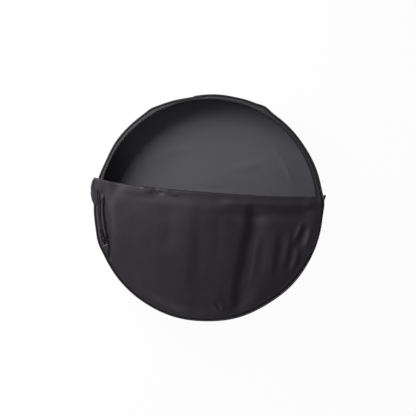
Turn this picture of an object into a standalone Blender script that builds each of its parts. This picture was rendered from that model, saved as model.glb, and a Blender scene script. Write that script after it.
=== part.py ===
"""A round padded bag for one bicycle wheel, lying on its back panel. Metres, +Z up.

The bag is built round the Z axis. Its back panel lies on the plane z = 0, and its mouth
opens upwards at z = BAG_DEPTH. The zip that runs over its upper part is open, and the upper
part of the front panel, the flap, is folded down inside, behind the lower part.
"""

import math

import bmesh
import bpy
from mathutils import Matrix, Vector

# Driving sizes of the bag
BAG_RADIUS = 0.367
BAG_DEPTH = 0.100
PIPING_RADIUS = 0.003
SHELL_FABRIC = 0.0012
LINING_FABRIC = 0.0008
BACK_FOAM = 0.005
LAYER_GAP = 0.0003
BINDING_WIDTH = 0.010
BINDING_THICKNESS = 0.002
GUSSET_RECESS = 0.0015
GUSSET_CROWN = 0.0012
PANEL_CROWN = 0.008

# The fold of the front panel, seen from the front
FOLD_HEIGHT = 0.049
FOLD_TILT = math.radians(4.3)
FOLD_LIFT = 0.002
FOLD_END_RISE = 0.016
FOLD_ROLL = 0.006
FOLD_DROP = 0.00315
FLAP_LAP = 0.0015
FLAP_LAP_REACH = 0.020
FLAP_LAP_END = 0.060

# The zip
ZIP_HALF_ANGLE = math.radians(106.3)
ZIP_INSET = 0.017
TAPE_THICKNESS = 0.0006
TAPE_WIDTH = 0.014
TAPE_OVERRUN = 0.019
FABRIC_SETBACK = 0.0082
LINING_SETBACK = 0.024
TOOTH_PITCH = 0.007
TOOTH_REACH = 0.002
TOOTH_BASE = 0.0008
TOOTH_THICKNESS = 0.0024
TOOTH_CLEARANCE = 0.0004
LEFT_SPREAD = 0.0055
RIGHT_SPREAD = 0.0020
END_TAB_LENGTH = 0.052
STOP_LENGTH = 0.003
STOP_HEIGHT = 0.0034

# The slider and its pull
SLIDER_LENGTH = 0.020
SLIDER_WIDTH = 0.015
SLIDER_TAIL_WIDTH = 0.0115
SLIDER_PLATE = 0.0012
SLIDER_CHANNEL = 0.0030
SLIDER_FLANGE = 0.0012
SLIDER_SLOT = 0.0012
POST_LENGTH = 0.004
POST_WIDTH = 0.0012
POST_SETBACK = 0.0022
ARCH_LENGTH = 0.009
ARCH_WIDTH = 0.0022
ARCH_ROOM = 0.0022
ARCH_BAR = 0.0010
PULL_LENGTH = 0.034
PULL_WIDTH = 0.0075
PULL_THICKNESS = 0.0014
PULL_EYE_LENGTH = 0.0080
PULL_EYE_WIDTH = 0.0040
PULL_BAR = 0.0014
PULL_HOLE_RADIUS = 0.0016

# The corner of the opened zip edge that stands out past the rim at the left of the fold
CORNER_REACH = 0.011
CORNER_LENGTH = 0.084
CORNER_WIDTH = 0.016
CORNER_THICKNESS = 0.0024

# The carry handle on the top of the side band
HANDLE_HALF_ANGLE = math.radians(33.0)
HANDLE_WIDTH = 0.038
HANDLE_THICKNESS = 0.0018
HANDLE_SLACK = 0.006
GRIP_LENGTH = 0.095
GRIP_WIDTH = 0.026
GRIP_THICKNESS = 0.0044
ANCHOR_LENGTH = 0.046
ANCHOR_MARGIN = 0.003
ANCHOR_THICKNESS = 0.0016

# How finely round shapes are divided
RING_STEPS = 72
PIPING_SIDES = 6
PANEL_COLUMNS = 30
PANEL_ROWS = 4
ROLL_ROWS = 4
ARCH_POINTS = 7
PULL_END_STEPS = 6
HOLE_SIDES = 12
LONG_GROUP = 8
SHORT_GROUP = 1

# Shares of the sizes above
PULL_WAIST_SHARE = 0.8
SLACK_CENTRE_SHARE = 0.55
SLACK_WIDTH_SHARE = 0.24
CORNER_OUTLINE_SHARES = (
    (0.00, 0.55), (0.03, 0.92), (0.12, 1.00), (0.45, 0.86), (0.75, 0.50), (1.00, 0.10),
)

MERGE_DISTANCE = 0.000001
TOP = math.radians(90.0)

RIM = BAG_DEPTH
STEP = 2 * math.pi / RING_STEPS
PIPING_CENTRE = BAG_RADIUS - PIPING_RADIUS
INNER_EDGE = (BAG_RADIUS - 2 * PIPING_RADIUS) * math.cos(STEP / 2) - LAYER_GAP
GUSSET_OUTSIDE = BAG_RADIUS - GUSSET_RECESS
GUSSET_INSIDE = GUSSET_OUTSIDE - SHELL_FABRIC
LINING_OUTSIDE = GUSSET_INSIDE - LAYER_GAP
LINING_INSIDE = LINING_OUTSIDE - LINING_FABRIC
PIPING_TOP = 2 * PIPING_RADIUS + LAYER_GAP
FLOOR_TOP = SHELL_FABRIC + LAYER_GAP + BACK_FOAM
ZIP_RADIUS = BAG_RADIUS - ZIP_INSET
TAPE_LEVEL = RIM - SHELL_FABRIC - LAYER_GAP - TAPE_THICKNESS / 2
FABRIC_EDGE = ZIP_RADIUS - FABRIC_SETBACK
FOLD_LEVEL = RIM - FOLD_DROP
ROW_REACH = TOOTH_REACH / 2 + TOOTH_BASE
HALF_PITCH = TOOTH_PITCH / 2 / ZIP_RADIUS
SLIDER_REST = TOP + ZIP_HALF_ANGLE
SLIDER_HALF_ANGLE = SLIDER_LENGTH / 2 / ZIP_RADIUS
TAPE_END = ZIP_HALF_ANGLE + TAPE_OVERRUN / ZIP_RADIUS
TAB_END = TAPE_END + END_TAB_LENGTH / ZIP_RADIUS
ROW_END = ZIP_HALF_ANGLE + SLIDER_HALF_ANGLE
APEX = ZIP_HALF_ANGLE
POST_ANGLE = ZIP_HALF_ANGLE - (SLIDER_LENGTH / 2 - POST_SETBACK - POST_LENGTH / 2) / ZIP_RADIUS
POST_SPREAD = TOOTH_REACH + POST_WIDTH + TOOTH_CLEARANCE

FABRIC = ("shell fabric", (0.036, 0.034, 0.038), 0.82, 0.0)
LINING = ("grey lining", (0.090, 0.092, 0.100), 0.70, 0.0)
FOAM = ("foam", (0.20, 0.20, 0.21), 0.95, 0.0)
TAPE = ("woven tape", (0.020, 0.020, 0.022), 0.88, 0.0)
TEETH = ("zip teeth", (0.015, 0.015, 0.016), 0.38, 0.0)
METAL = ("black enamel", (0.020, 0.020, 0.021), 0.34, 0.55)

PARTS = "wheel_bag"


def clear_scene():
    """Removes what the scene holds, so that it holds only the bag."""
    for old in list(bpy.data.objects):
        bpy.data.objects.remove(old, do_unlink=True)


def collection():
    """The collection that holds the bag's pieces."""
    found = bpy.data.collections.get(PARTS)
    if found is None:
        found = bpy.data.collections.new(PARTS)
        bpy.context.scene.collection.children.link(found)
    return found


def material(finish):
    """The Principled material of a finish, made once."""
    name, colour, roughness, metallic = finish
    found = bpy.data.materials.get(name)
    if found:
        return found
    made = bpy.data.materials.new(name)
    made.use_nodes = True
    shader = made.node_tree.nodes["Principled BSDF"]
    shader.inputs["Base Color"].default_value = (*colour, 1.0)
    shader.inputs["Roughness"].default_value = roughness
    shader.inputs["Metallic"].default_value = metallic
    return made


def add_object(name, mesh, finish, smooth=True):
    """Links a mesh as a named piece with its finish."""
    piece = bpy.data.objects.new(name, mesh)
    collection().objects.link(piece)
    mesh.materials.append(material(finish))
    if smooth:
        mesh.shade_smooth()
        mesh.set_sharp_from_angle(angle=math.radians(40.0))
    return piece


def mesh_from(work, name):
    """Turns a bmesh into a mesh with its faces pointing out."""
    bmesh.ops.recalc_face_normals(work, faces=work.faces)
    mesh = bpy.data.meshes.new(name)
    work.to_mesh(mesh)
    work.free()
    return mesh


def polar(radius, angle, level):
    """The point at a radius and an angle round the bag's axis."""
    return Vector((radius * math.cos(angle), radius * math.sin(angle), level))


def disc(name, radius, bottom, thickness, finish):
    """A round sheet with its underside at a level."""
    work = bmesh.new()
    bmesh.ops.create_cone(
        work, cap_ends=True, segments=RING_STEPS, radius1=radius, radius2=radius, depth=thickness,
        matrix=Matrix.Translation((0, 0, bottom + thickness / 2)),
    )
    return add_object(name, mesh_from(work, name), finish)


def turned_ring(name, profile, finish):
    """A ring turned from a closed profile of (radius, level) points, listed down its outer side."""
    work = bmesh.new()
    corners = [work.verts.new((radius, 0, level)) for radius, level in profile]
    for first, second in zip(corners, corners[1:] + corners[:1]):
        work.edges.new((first, second))
    mesh = bpy.data.meshes.new(name)
    work.to_mesh(mesh)
    work.free()
    piece = add_object(name, mesh, finish)
    turn = piece.modifiers.new("turn", "SCREW")
    turn.steps = turn.render_steps = RING_STEPS
    turn.use_merge_vertices = True
    turn.merge_threshold = MERGE_DISTANCE
    turn.use_smooth_shade = True
    return piece


def circle_profile(centre, level, radius, sides):
    """A round profile, listed down its outer side."""
    turns = [TOP - 2 * math.pi * n / sides for n in range(sides)]
    return [(centre + radius * math.cos(turn), level + radius * math.sin(turn)) for turn in turns]


def arc_angles(start, end, step=STEP):
    """Angles from start to end that fall on the rings' own divisions."""
    first = math.ceil(start / step + 1 / RING_STEPS)
    last = math.floor(end / step - 1 / RING_STEPS)
    return [start] + [n * step for n in range(first, last + 1)] + [end]


def loft(name, sections, finish):
    """One closed solid through a row of sections that have the same number of corners."""
    work = bmesh.new()
    rows = [[work.verts.new(point) for point in section] for section in sections]
    for here, there in zip(rows, rows[1:]):
        for n in range(len(here)):
            after = (n + 1) % len(here)
            work.faces.new((here[n], here[after], there[after], there[n]))
    work.faces.new(rows[0])
    work.faces.new(rows[-1])
    bmesh.ops.remove_doubles(work, verts=work.verts, dist=MERGE_DISTANCE)
    return add_object(name, mesh_from(work, name), finish)


def arc_band(name, profile, start, end, finish):
    """Part of a ring, from one angle to another."""
    sections = [
        [polar(radius, angle, level) for radius, level in profile] for angle in arc_angles(start, end)
    ]
    return loft(name, sections, finish)


def flat_arc(name, angles, inner, outer, level, thickness, finish, place=None):
    """A flat strip along the rim. inner and outer give its edges' radii at an angle."""
    low, high = level - thickness / 2, level + thickness / 2
    sections = [
        [
            polar(inner(angle), angle, low), polar(outer(angle), angle, low),
            polar(outer(angle), angle, high), polar(inner(angle), angle, high),
        ]
        for angle in angles
    ]
    if place:
        sections = [[place(point) for point in section] for section in sections]
    return loft(name, sections, finish)


def sheet(name, rows, thickness, finish):
    """A sheet of cloth through rows of points that give its upper side."""
    work = bmesh.new()
    grid = [[work.verts.new(point) for point in row] for row in rows]
    for here, there in zip(grid, grid[1:]):
        for n in range(len(here) - 1):
            work.faces.new((here[n], there[n], there[n + 1], here[n + 1]))
    bmesh.ops.remove_doubles(work, verts=work.verts, dist=MERGE_DISTANCE)
    bmesh.ops.dissolve_degenerate(work, edges=work.edges, dist=MERGE_DISTANCE)
    mesh = bpy.data.meshes.new(name)
    work.to_mesh(mesh)
    work.free()
    piece = add_object(name, mesh, finish)
    wall = piece.modifiers.new("cloth thickness", "SOLIDIFY")
    wall.thickness = thickness
    wall.offset = -1.0
    wall.use_even_offset = True
    return piece


def smooth_share(value):
    """A share from 0 to 1 that starts and ends gently."""
    value = min(max(value, 0.0), 1.0)
    return value * value * (3 - 2 * value)


def crown(point_radius):
    """How far the front panel stands above the rim at a radius."""
    return PANEL_CROWN * max(0.0, 1 - (point_radius / FABRIC_EDGE) ** 2)


def from_top(angle):
    """How far an angle lies from the top of the bag, to either side."""
    turned = (angle - TOP) % (2 * math.pi)
    return min(turned, 2 * math.pi - turned)


def is_left(angle):
    """Whether an angle is on the left side of the bag, seen from the front."""
    return (angle - TOP) % (2 * math.pi) < math.pi


def spread(angle):
    """How far the front half of the zip lies inside its closed place."""
    away = APEX - from_top(angle)
    if away <= 0:
        return 0.0
    most = LEFT_SPREAD if is_left(angle) else RIGHT_SPREAD
    near = POST_SPREAD if is_left(angle) else RIGHT_SPREAD
    begun = smooth_share(away / (APEX - POST_ANGLE))
    opened = smooth_share((away - APEX + POST_ANGLE) / (APEX - TOP))
    return near * begun + (most - near) * opened


def panel_edge(angle):
    """The radius of the front panel's sewn edge at an angle."""
    past = (from_top(angle) - TAPE_END) / (TAB_END - TAPE_END)
    return FABRIC_EDGE - spread(angle) + (INNER_EDGE - FABRIC_EDGE) * smooth_share(past)


def lining_edge(angle):
    """The radius of the front lining's edge at an angle."""
    past = (from_top(angle) - TAB_END) / (TAB_END - TAPE_END)
    inner = ZIP_RADIUS - LINING_SETBACK
    outer = LINING_INSIDE - BINDING_THICKNESS - 2 * LAYER_GAP
    return inner + (outer - inner) * smooth_share(past)


def fold_axes():
    """The directions along the fold, to the right, and across it, upwards."""
    along = Vector((math.cos(FOLD_TILT), -math.sin(FOLD_TILT), 0))
    across = Vector((math.sin(FOLD_TILT), math.cos(FOLD_TILT), 0))
    return along, across


def on_fold(side, height, level):
    """The point at a place along the fold and a height across it."""
    along, across = fold_axes()
    point = side * along + height * across
    return Vector((point.x, point.y, level))


def fold_edge(side):
    """The height of the fold's visible edge at a place along it."""
    return FOLD_HEIGHT + FOLD_LIFT + FOLD_END_RISE * abs(side / BAG_RADIUS) ** 3


def corner_angle(height, radius):
    """The angle between the fold's direction and a corner where a height meets a radius."""
    return math.asin(height / radius)


def lower_arc(count, height, edge):
    """Angles from the left end of the fold, round the bottom, to its right end."""
    lean = corner_angle(height, edge)
    start, end = math.pi - lean - FOLD_TILT, 2 * math.pi + lean - FOLD_TILT
    return [start + (end - start) * n / count for n in range(count + 1)]


def ruled_rows(top, bottom, rows, lift):
    """Rows of points from a top line to a bottom line. lift gives the level at a point."""
    found = []
    for row in range(rows + 1):
        share = row / rows
        line = []
        for above, below in zip(top, bottom):
            point = above.lerp(below, share)
            line.append(Vector((point.x, point.y, lift(point))))
        found.append(line)
    return found


def radius_of(point):
    """How far a point lies from the bag's axis."""
    return math.hypot(point.x, point.y)


def fold_places(start, end, count):
    """Places along the fold between two points, bunched towards them as the arc below the fold is."""
    along = fold_axes()[0]
    first, last = start.dot(along), end.dot(along)
    return [first + (last - first) * (1 - math.cos(math.pi * n / count)) / 2 for n in range(count + 1)]


def add_back():
    """The back panel with its foam and lining, and the corded seam round it."""
    disc("back_panel", INNER_EDGE, 0, SHELL_FABRIC, FABRIC)
    disc("back_padding", INNER_EDGE, SHELL_FABRIC + LAYER_GAP, BACK_FOAM, FOAM)
    lining_bottom = FLOOR_TOP + LAYER_GAP
    disc("back_lining", INNER_EDGE, lining_bottom, LINING_FABRIC, LINING)
    piping = circle_profile(PIPING_CENTRE, PIPING_RADIUS, PIPING_RADIUS, PIPING_SIDES)
    turned_ring("back_piping", piping, TAPE)
    bottom = lining_bottom + LINING_FABRIC + LAYER_GAP
    turned_ring("back_seam_binding", binding_profile(bottom), TAPE)


def binding_profile(bottom):
    """The profile of the tape that covers a seam inside the side band."""
    outside = LINING_INSIDE - LAYER_GAP
    inside = outside - BINDING_THICKNESS
    top = bottom + BINDING_WIDTH
    return [(outside, top), (outside, bottom), (inside, bottom), (inside, top)]


def gusset_profile(outside, inside, bottom, top):
    """The side band's profile, with its outer side slightly crowned."""
    middle = (bottom + top) / 2
    return [
        (outside, top), (outside + GUSSET_CROWN, middle), (outside, bottom),
        (inside, bottom), (inside + GUSSET_CROWN, middle), (inside, top),
    ]


def add_gusset():
    """The side band in its two lengths, its lining, and the seam round the front."""
    bottom, top = PIPING_TOP, RIM - PIPING_TOP
    profile = gusset_profile(GUSSET_OUTSIDE, GUSSET_INSIDE, bottom, top)
    join = LAYER_GAP / GUSSET_OUTSIDE
    arc_band("upper_gusset", profile, TOP - ZIP_HALF_ANGLE, TOP + ZIP_HALF_ANGLE - join, FABRIC)
    lower_start, lower_end = TOP + ZIP_HALF_ANGLE, TOP + 2 * math.pi - ZIP_HALF_ANGLE - join
    arc_band("lower_gusset", profile, lower_start, lower_end, FABRIC)
    lining = gusset_profile(
        LINING_OUTSIDE, LINING_INSIDE, FLOOR_TOP + LAYER_GAP, top - LAYER_GAP,
    )
    turned_ring("gusset_lining", lining, LINING)
    front = circle_profile(PIPING_CENTRE, RIM - PIPING_RADIUS, PIPING_RADIUS, PIPING_SIDES)
    turned_ring("front_piping", front, TAPE)
    turned_ring("front_seam_binding", binding_profile(top - LAYER_GAP - BINDING_WIDTH), TAPE)


def add_front():
    """The lower front panel with the fold at its upper edge, and its lining."""
    count = PANEL_COLUMNS
    angles = lower_arc(count, fold_edge(FABRIC_EDGE) - FOLD_ROLL, FABRIC_EDGE)
    bottom = [polar(panel_edge(angle), angle, 0) for angle in angles]
    places = fold_places(bottom[0], bottom[-1], count)
    top = [on_fold(side, fold_edge(side) - FOLD_ROLL, 0) for side in places]
    top[0], top[-1] = bottom[0], bottom[-1]
    rows = ruled_rows(top, bottom, PANEL_ROWS, lambda point: RIM + crown(radius_of(point)))
    across = fold_axes()[1]
    roll = []
    for n in range(ROLL_ROWS, 0, -1):
        turn = math.pi * n / ROLL_ROWS
        line = []
        for point in rows[0]:
            rise = point.z - FOLD_LEVEL
            moved = point + FOLD_ROLL * math.sin(turn) * across
            kept = min(1.0, FABRIC_EDGE / radius_of(moved))
            line.append(Vector((kept * moved.x, kept * moved.y, FOLD_LEVEL + rise * math.cos(turn))))
        roll.append(line)
    sheet("front_panel", roll + rows, SHELL_FABRIC, FABRIC)
    add_front_lining(count)


def add_front_lining(count):
    """The lining sewn behind the lower front panel."""
    setback = ZIP_RADIUS - LINING_SETBACK
    height = FOLD_HEIGHT - FOLD_ROLL
    angles = lower_arc(count, height, setback)
    bottom = [polar(lining_edge(angle), angle, 0) for angle in angles]
    top = [on_fold(side, height, 0) for side in fold_places(bottom[0], bottom[-1], count)]
    top[0], top[-1] = bottom[0], bottom[-1]
    drop = SHELL_FABRIC + LAYER_GAP
    rows = ruled_rows(top, bottom, PANEL_ROWS, lambda point: RIM - drop + crown(radius_of(point)))
    sheet("front_lining", rows, LINING_FABRIC, LINING)


def toothed_row(name, start, end, side, shift, group, place=None):
    """One row of zip teeth, its back edge straight over each group of half pitches.

    side is 1 on the outer half and -1 on the inner half. shift gives how far in the row lies at an angle.
    """
    first, last = math.ceil(start / HALF_PITCH), math.floor(end / HALF_PITCH)
    clearance = TOOTH_CLEARANCE if side < 0 else 0.0
    toothed, base = [], []
    for n in range(first, last + 1):
        angle = n * HALF_PITCH
        wave = TOOTH_REACH / 2 * (1 if n % 2 else -1)
        toothed.append(polar(ZIP_RADIUS + wave - clearance - shift(angle), angle, 0))
        if (n - first) % group == 0 or n == last:
            back = ZIP_RADIUS + side * ROW_REACH - clearance - shift(angle)
            base.append((n - first, polar(back, angle, 0)))
    work = bmesh.new()
    levels = (TAPE_LEVEL - TOOTH_THICKNESS / 2, TAPE_LEVEL + TOOTH_THICKNESS / 2)
    layers = []
    for level in levels:
        edge = [work.verts.new(seated((p.x, p.y, level), place)) for p in toothed]
        backs = [work.verts.new(seated((p.x, p.y, level), place)) for _, p in base]
        layers.append((edge, backs))
        for n in range(len(base) - 1):
            from_tooth, to_tooth = base[n][0], base[n + 1][0]
            work.faces.new([backs[n], backs[n + 1]] + edge[from_tooth:to_tooth + 1][::-1])
    (low_edge, low_back), (high_edge, high_back) = layers
    for low, high in ((low_edge, high_edge), (low_back, high_back)):
        for n in range(len(low) - 1):
            work.faces.new((low[n], low[n + 1], high[n + 1], high[n]))
    work.faces.new((low_edge[0], low_back[0], high_back[0], high_edge[0]))
    work.faces.new((low_edge[-1], low_back[-1], high_back[-1], high_edge[-1]))
    return add_object(name, mesh_from(work, name), TEETH, smooth=False)


def seated(point, place):
    """A point, moved by a place function where there is one."""
    return place(Vector(point)) if place else Vector(point)


def hinge_end_angles():
    """The angles where the fold's line meets the zip, at its left and right ends."""
    lean = corner_angle(FOLD_HEIGHT, ZIP_RADIUS)
    return math.pi - lean - FOLD_TILT, lean - FOLD_TILT


def add_zip_on_bag():
    """The zip half on the side band, the other half's two lengths up to the fold, and the zip's ends."""
    start, end = TOP - TAPE_END, TOP + TAPE_END
    outer_base = ZIP_RADIUS + ROW_REACH + LAYER_GAP
    flat_arc(
        "gusset_zip_tape", arc_angles(start, end, STEP / 2), lambda a: outer_base, lambda a: INNER_EDGE,
        TAPE_LEVEL, TAPE_THICKNESS, TAPE,
    )
    toothed_row("gusset_zip_teeth", TOP - ROW_END, TOP + ROW_END, 1, lambda a: 0.0, LONG_GROUP)
    left, right = hinge_end_angles()
    inner_base = ZIP_RADIUS - ROW_REACH - TOOTH_CLEARANCE - LAYER_GAP
    pairs = (
        ("left", left, TOP + TAPE_END, left, TOP + ROW_END),
        ("right", TOP - TAPE_END, right, TOP - ROW_END, right),
    )
    for side, tape_start, tape_stop, row_start, row_stop in pairs:
        flat_arc(
            f"front_zip_tape_{side}", arc_angles(tape_start, tape_stop, HALF_PITCH),
            lambda a: inner_base - TAPE_WIDTH - spread(a), lambda a: inner_base - spread(a),
            TAPE_LEVEL, TAPE_THICKNESS, TAPE,
        )
        toothed_row(f"front_zip_teeth_{side}", row_start, row_stop, -1, spread, SHORT_GROUP)
    add_zip_ends(inner_base - TAPE_WIDTH)


def add_zip_ends(tape_inside):
    """The fabric tabs that close the corners past the zip, and the metal stops on its rows."""
    gap = LAYER_GAP / ZIP_RADIUS
    tabs = (
        ("left", TOP + TAPE_END + gap, TOP + TAB_END),
        ("right", TOP - TAB_END, TOP - TAPE_END - gap),
    )
    for side, start, end in tabs:
        flat_arc(
            f"zip_end_tab_{side}", arc_angles(start, end, STEP / 2),
            lambda a: tape_inside, lambda a: INNER_EDGE, TAPE_LEVEL, TAPE_THICKNESS, FABRIC,
        )
    beyond = ROW_END + (STOP_LENGTH / 2 + LAYER_GAP + TOOTH_PITCH / 2) / ZIP_RADIUS
    add_stop("zip_bottom_stop", TOP + beyond, -ROW_REACH - TOOTH_CLEARANCE, ROW_REACH)
    add_stop("zip_top_stop_outer", TOP - beyond, 0.0, ROW_REACH)
    add_stop("zip_top_stop_inner", TOP - beyond, -ROW_REACH - TOOTH_CLEARANCE, -LAYER_GAP)


def add_stop(name, angle, inner, outer):
    """A small metal clip at the end of a row of teeth, between two distances from the row's line."""
    work = bmesh.new()
    box(work, (0, 0, 0), (outer - inner, STOP_LENGTH, STOP_HEIGHT))
    piece = add_object(name, mesh_from(work, name), METAL)
    piece.location = polar(ZIP_RADIUS + (inner + outer) / 2, angle, TAPE_LEVEL)
    piece.rotation_euler.z = angle
    edge = piece.modifiers.new("rounded edges", "BEVEL")
    edge.width = STOP_HEIGHT / 8
    edge.segments = 1
    return piece


def flap_frame():
    """An empty on the fold's axis, which holds the flap turned half round from its closed place."""
    axis = bpy.data.objects.new("flap_axis", None)
    collection().objects.link(axis)
    along, across = fold_axes()
    closed = Matrix((along, across, Vector((0, 0, 1)))).transposed().to_4x4()
    closed.translation = on_fold(0, FOLD_HEIGHT, FOLD_LEVEL)
    axis.matrix_world = closed @ Matrix.Rotation(math.pi, 4, "X")
    return axis, closed.inverted()


def add_flap():
    """The upper part of the front panel, built closed and folded down by its empty."""
    axis, to_frame = flap_frame()
    count = PANEL_COLUMNS

    def closed_rows(edge, drop, height):
        lean = corner_angle(height(edge), edge)
        start, end = lean - FOLD_TILT, math.pi - lean - FOLD_TILT
        arc = [end + (start - end) * n / count for n in range(count + 1)]
        top = [polar(edge, angle, 0) for angle in arc]
        line = [on_fold(side, height(side), 0) for side in fold_places(top[0], top[-1], count)]
        line[0], line[-1] = top[0], top[-1]

        def level(point):
            beyond = point.dot(fold_axes()[1]) - FOLD_HEIGHT
            lap = min(max((FLAP_LAP_END - beyond) / (FLAP_LAP_END - FLAP_LAP_REACH), 0.0), 1.0)
            return RIM - drop + crown(radius_of(point)) + FLAP_LAP * lap

        rows = ruled_rows(top, line, PANEL_ROWS, level)
        return [[to_frame @ point for point in row] for row in rows]

    panel = closed_rows(FABRIC_EDGE, 0.0, lambda side: FOLD_HEIGHT)
    lining = closed_rows(
        ZIP_RADIUS - LINING_SETBACK, SHELL_FABRIC + LAYER_GAP, lambda side: fold_edge(side) + FOLD_ROLL / 2,
    )
    pieces = [
        sheet("flap_panel", panel, SHELL_FABRIC, FABRIC),
        sheet("flap_lining", lining, LINING_FABRIC, LINING),
    ]
    left, right = hinge_end_angles()
    inner_base = ZIP_RADIUS - ROW_REACH - TOOTH_CLEARANCE - LAYER_GAP
    place = to_frame.__matmul__
    pieces.append(flat_arc(
        "flap_zip_tape", arc_angles(right, left, STEP / 2),
        lambda a: inner_base - TAPE_WIDTH, lambda a: inner_base, TAPE_LEVEL, TAPE_THICKNESS, TAPE, place,
    ))
    pieces.append(toothed_row("flap_zip_teeth", right, left, -1, lambda a: 0.0, LONG_GROUP, place))
    for piece in pieces:
        piece.parent = axis


def add_zip_corner():
    """The bend of the opened zip edge, which stands out past the rim at the left end of the fold."""
    start = hinge_end_angles()[0] - math.asin((FOLD_END_RISE + FOLD_LIFT) / ZIP_RADIUS)
    low = RIM + LAYER_GAP
    sections = []
    for length_share, reach_share in CORNER_OUTLINE_SHARES:
        angle = start + CORNER_LENGTH * length_share / BAG_RADIUS
        outer = BAG_RADIUS + CORNER_REACH * reach_share
        inner = outer - CORNER_WIDTH
        sections.append([
            polar(inner, angle, low), polar(outer - CORNER_THICKNESS / 2, angle, low),
            polar(outer, angle, low + CORNER_THICKNESS / 2),
            polar(outer - CORNER_THICKNESS / 2, angle, low + CORNER_THICKNESS),
            polar(inner, angle, low + CORNER_THICKNESS),
        ])
    loft("zip_edge_corner", sections, TAPE)


def box(work, centre, size):
    """Adds a box to a bmesh."""
    made = bmesh.ops.create_cube(work, size=1.0)["verts"]
    bmesh.ops.scale(work, vec=size, verts=made)
    bmesh.ops.translate(work, vec=centre, verts=made)


def solid_from_outline(work, outline, low, high):
    """Adds a flat solid with the given outline to a bmesh."""
    bottom = [work.verts.new((x, y, low)) for x, y in outline]
    top = [work.verts.new((x, y, high)) for x, y in outline]
    work.faces.new(bottom)
    work.faces.new(top)
    for n in range(len(outline)):
        after = (n + 1) % len(outline)
        work.faces.new((bottom[n], bottom[after], top[after], top[n]))


def joined(name, makers, finish):
    """One solid from several that overlap, united in turn."""
    pieces = []
    for n, make in enumerate(makers):
        work = bmesh.new()
        make(work)
        pieces.append(add_object(name if n == 0 else f"{name}_{n}", mesh_from(work, f"{name}_{n}"), finish))
    base = pieces[0]
    for n, other in enumerate(pieces[1:]):
        unite = base.modifiers.new(f"unite {n}", "BOOLEAN")
        unite.operation = "UNION"
        unite.object = other
    graph = bpy.context.evaluated_depsgraph_get()
    whole = bpy.data.meshes.new_from_object(base.evaluated_get(graph))
    whole.name = name
    for piece in pieces:
        bpy.data.objects.remove(piece, do_unlink=True)
    result = bpy.data.objects.new(name, whole)
    collection().objects.link(result)
    whole.shade_smooth()
    whole.set_sharp_from_angle(angle=math.radians(40.0))
    return result


def slider_plate(front, tail):
    """The outline of a slider's plate, wide where the rows part and narrow where they meet."""
    half = SLIDER_LENGTH / 2
    bend = SLIDER_LENGTH / 5
    return [
        (-front / 2, -half + SLIDER_PLATE), (-front / 2 + SLIDER_PLATE, -half),
        (front / 2 - SLIDER_PLATE, -half), (front / 2, -half + SLIDER_PLATE),
        (front / 2, -bend), (tail / 2, half - SLIDER_PLATE), (tail / 2 - SLIDER_PLATE, half),
        (-tail / 2 + SLIDER_PLATE, half), (-tail / 2, half - SLIDER_PLATE), (-front / 2, -bend),
    ]


def flange(side):
    """The outline of the rim along one edge of a slider's plate. side is -1 or 1."""
    half = SLIDER_LENGTH / 2
    bend = SLIDER_LENGTH / 5
    wide, narrow = SLIDER_WIDTH / 2, SLIDER_TAIL_WIDTH / 2
    outer = [(wide, -half + SLIDER_PLATE), (wide, -bend), (narrow, half - SLIDER_PLATE)]
    inner = [(x - SLIDER_FLANGE, y) for x, y in reversed(outer)]
    return [(side * x, y) for x, y in outer + inner]


def add_slider():
    """The slider at the left end of the zip, and the pull on its arch. +Y runs to the zip's closed end."""
    plate_top = SLIDER_CHANNEL / 2 + SLIDER_PLATE
    overlap = SLIDER_PLATE / 2
    plate = slider_plate(SLIDER_WIDTH, SLIDER_TAIL_WIDTH)
    makers = [
        lambda work: solid_from_outline(work, plate, SLIDER_CHANNEL / 2, plate_top),
        lambda work: solid_from_outline(work, plate, -plate_top, -SLIDER_CHANNEL / 2),
        add_post,
    ]
    for side in (-1, 1):
        makers.append(lambda work, side=side: solid_from_outline(
            work, flange(side), SLIDER_SLOT / 2, SLIDER_CHANNEL / 2 + overlap))
        makers.append(lambda work, side=side: solid_from_outline(
            work, flange(side), -SLIDER_CHANNEL / 2 - overlap, -SLIDER_SLOT / 2))
    makers.append(lambda work: add_arch(work, plate_top))
    body = joined("slider_body", makers, METAL)
    turner = bpy.data.objects.new("slider_axis", None)
    collection().objects.link(turner)
    turner.rotation_euler.z = SLIDER_REST
    body.parent = turner
    body.location = (ZIP_RADIUS, 0, TAPE_LEVEL)
    add_pull(body, plate_top + LAYER_GAP + PULL_THICKNESS / 2)


def add_post(work):
    """The post between the slider's plates that parts the two rows."""
    start = -SLIDER_LENGTH / 2 + POST_SETBACK
    middle = -TOOTH_REACH / 2 - TOOTH_CLEARANCE - POST_WIDTH / 2
    high = SLIDER_CHANNEL / 2 + SLIDER_PLATE / 2
    outline = [
        (middle - POST_WIDTH / 2, start), (middle + POST_WIDTH / 2, start),
        (middle + POST_WIDTH / 2, start + POST_LENGTH / 2), (middle, start + POST_LENGTH),
        (middle - POST_WIDTH / 2, start + POST_LENGTH / 2),
    ]
    solid_from_outline(work, outline, -high, high)


def add_arch(work, plate_top):
    """The arch on the slider's upper plate that holds the pull."""
    foot = plate_top - SLIDER_PLATE / 2
    rise = ARCH_ROOM + SLIDER_PLATE / 2
    sections = []
    for n in range(ARCH_POINTS):
        turn = math.pi * n / (ARCH_POINTS - 1)
        corners = []
        for side, extra in ((-1, 0), (1, 0), (1, 1), (-1, 1)):
            along = (ARCH_LENGTH / 2 - ARCH_BAR + extra * ARCH_BAR) * math.cos(turn)
            up = (rise + extra * ARCH_BAR) * math.sin(turn)
            corners.append(work.verts.new((side * ARCH_WIDTH / 2, along, foot + up)))
        sections.append(corners)
    for here, there in zip(sections, sections[1:]):
        for n in range(4):
            after = (n + 1) % 4
            work.faces.new((here[n], here[after], there[after], there[n]))
    work.faces.new(sections[0])
    work.faces.new(sections[-1])


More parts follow.
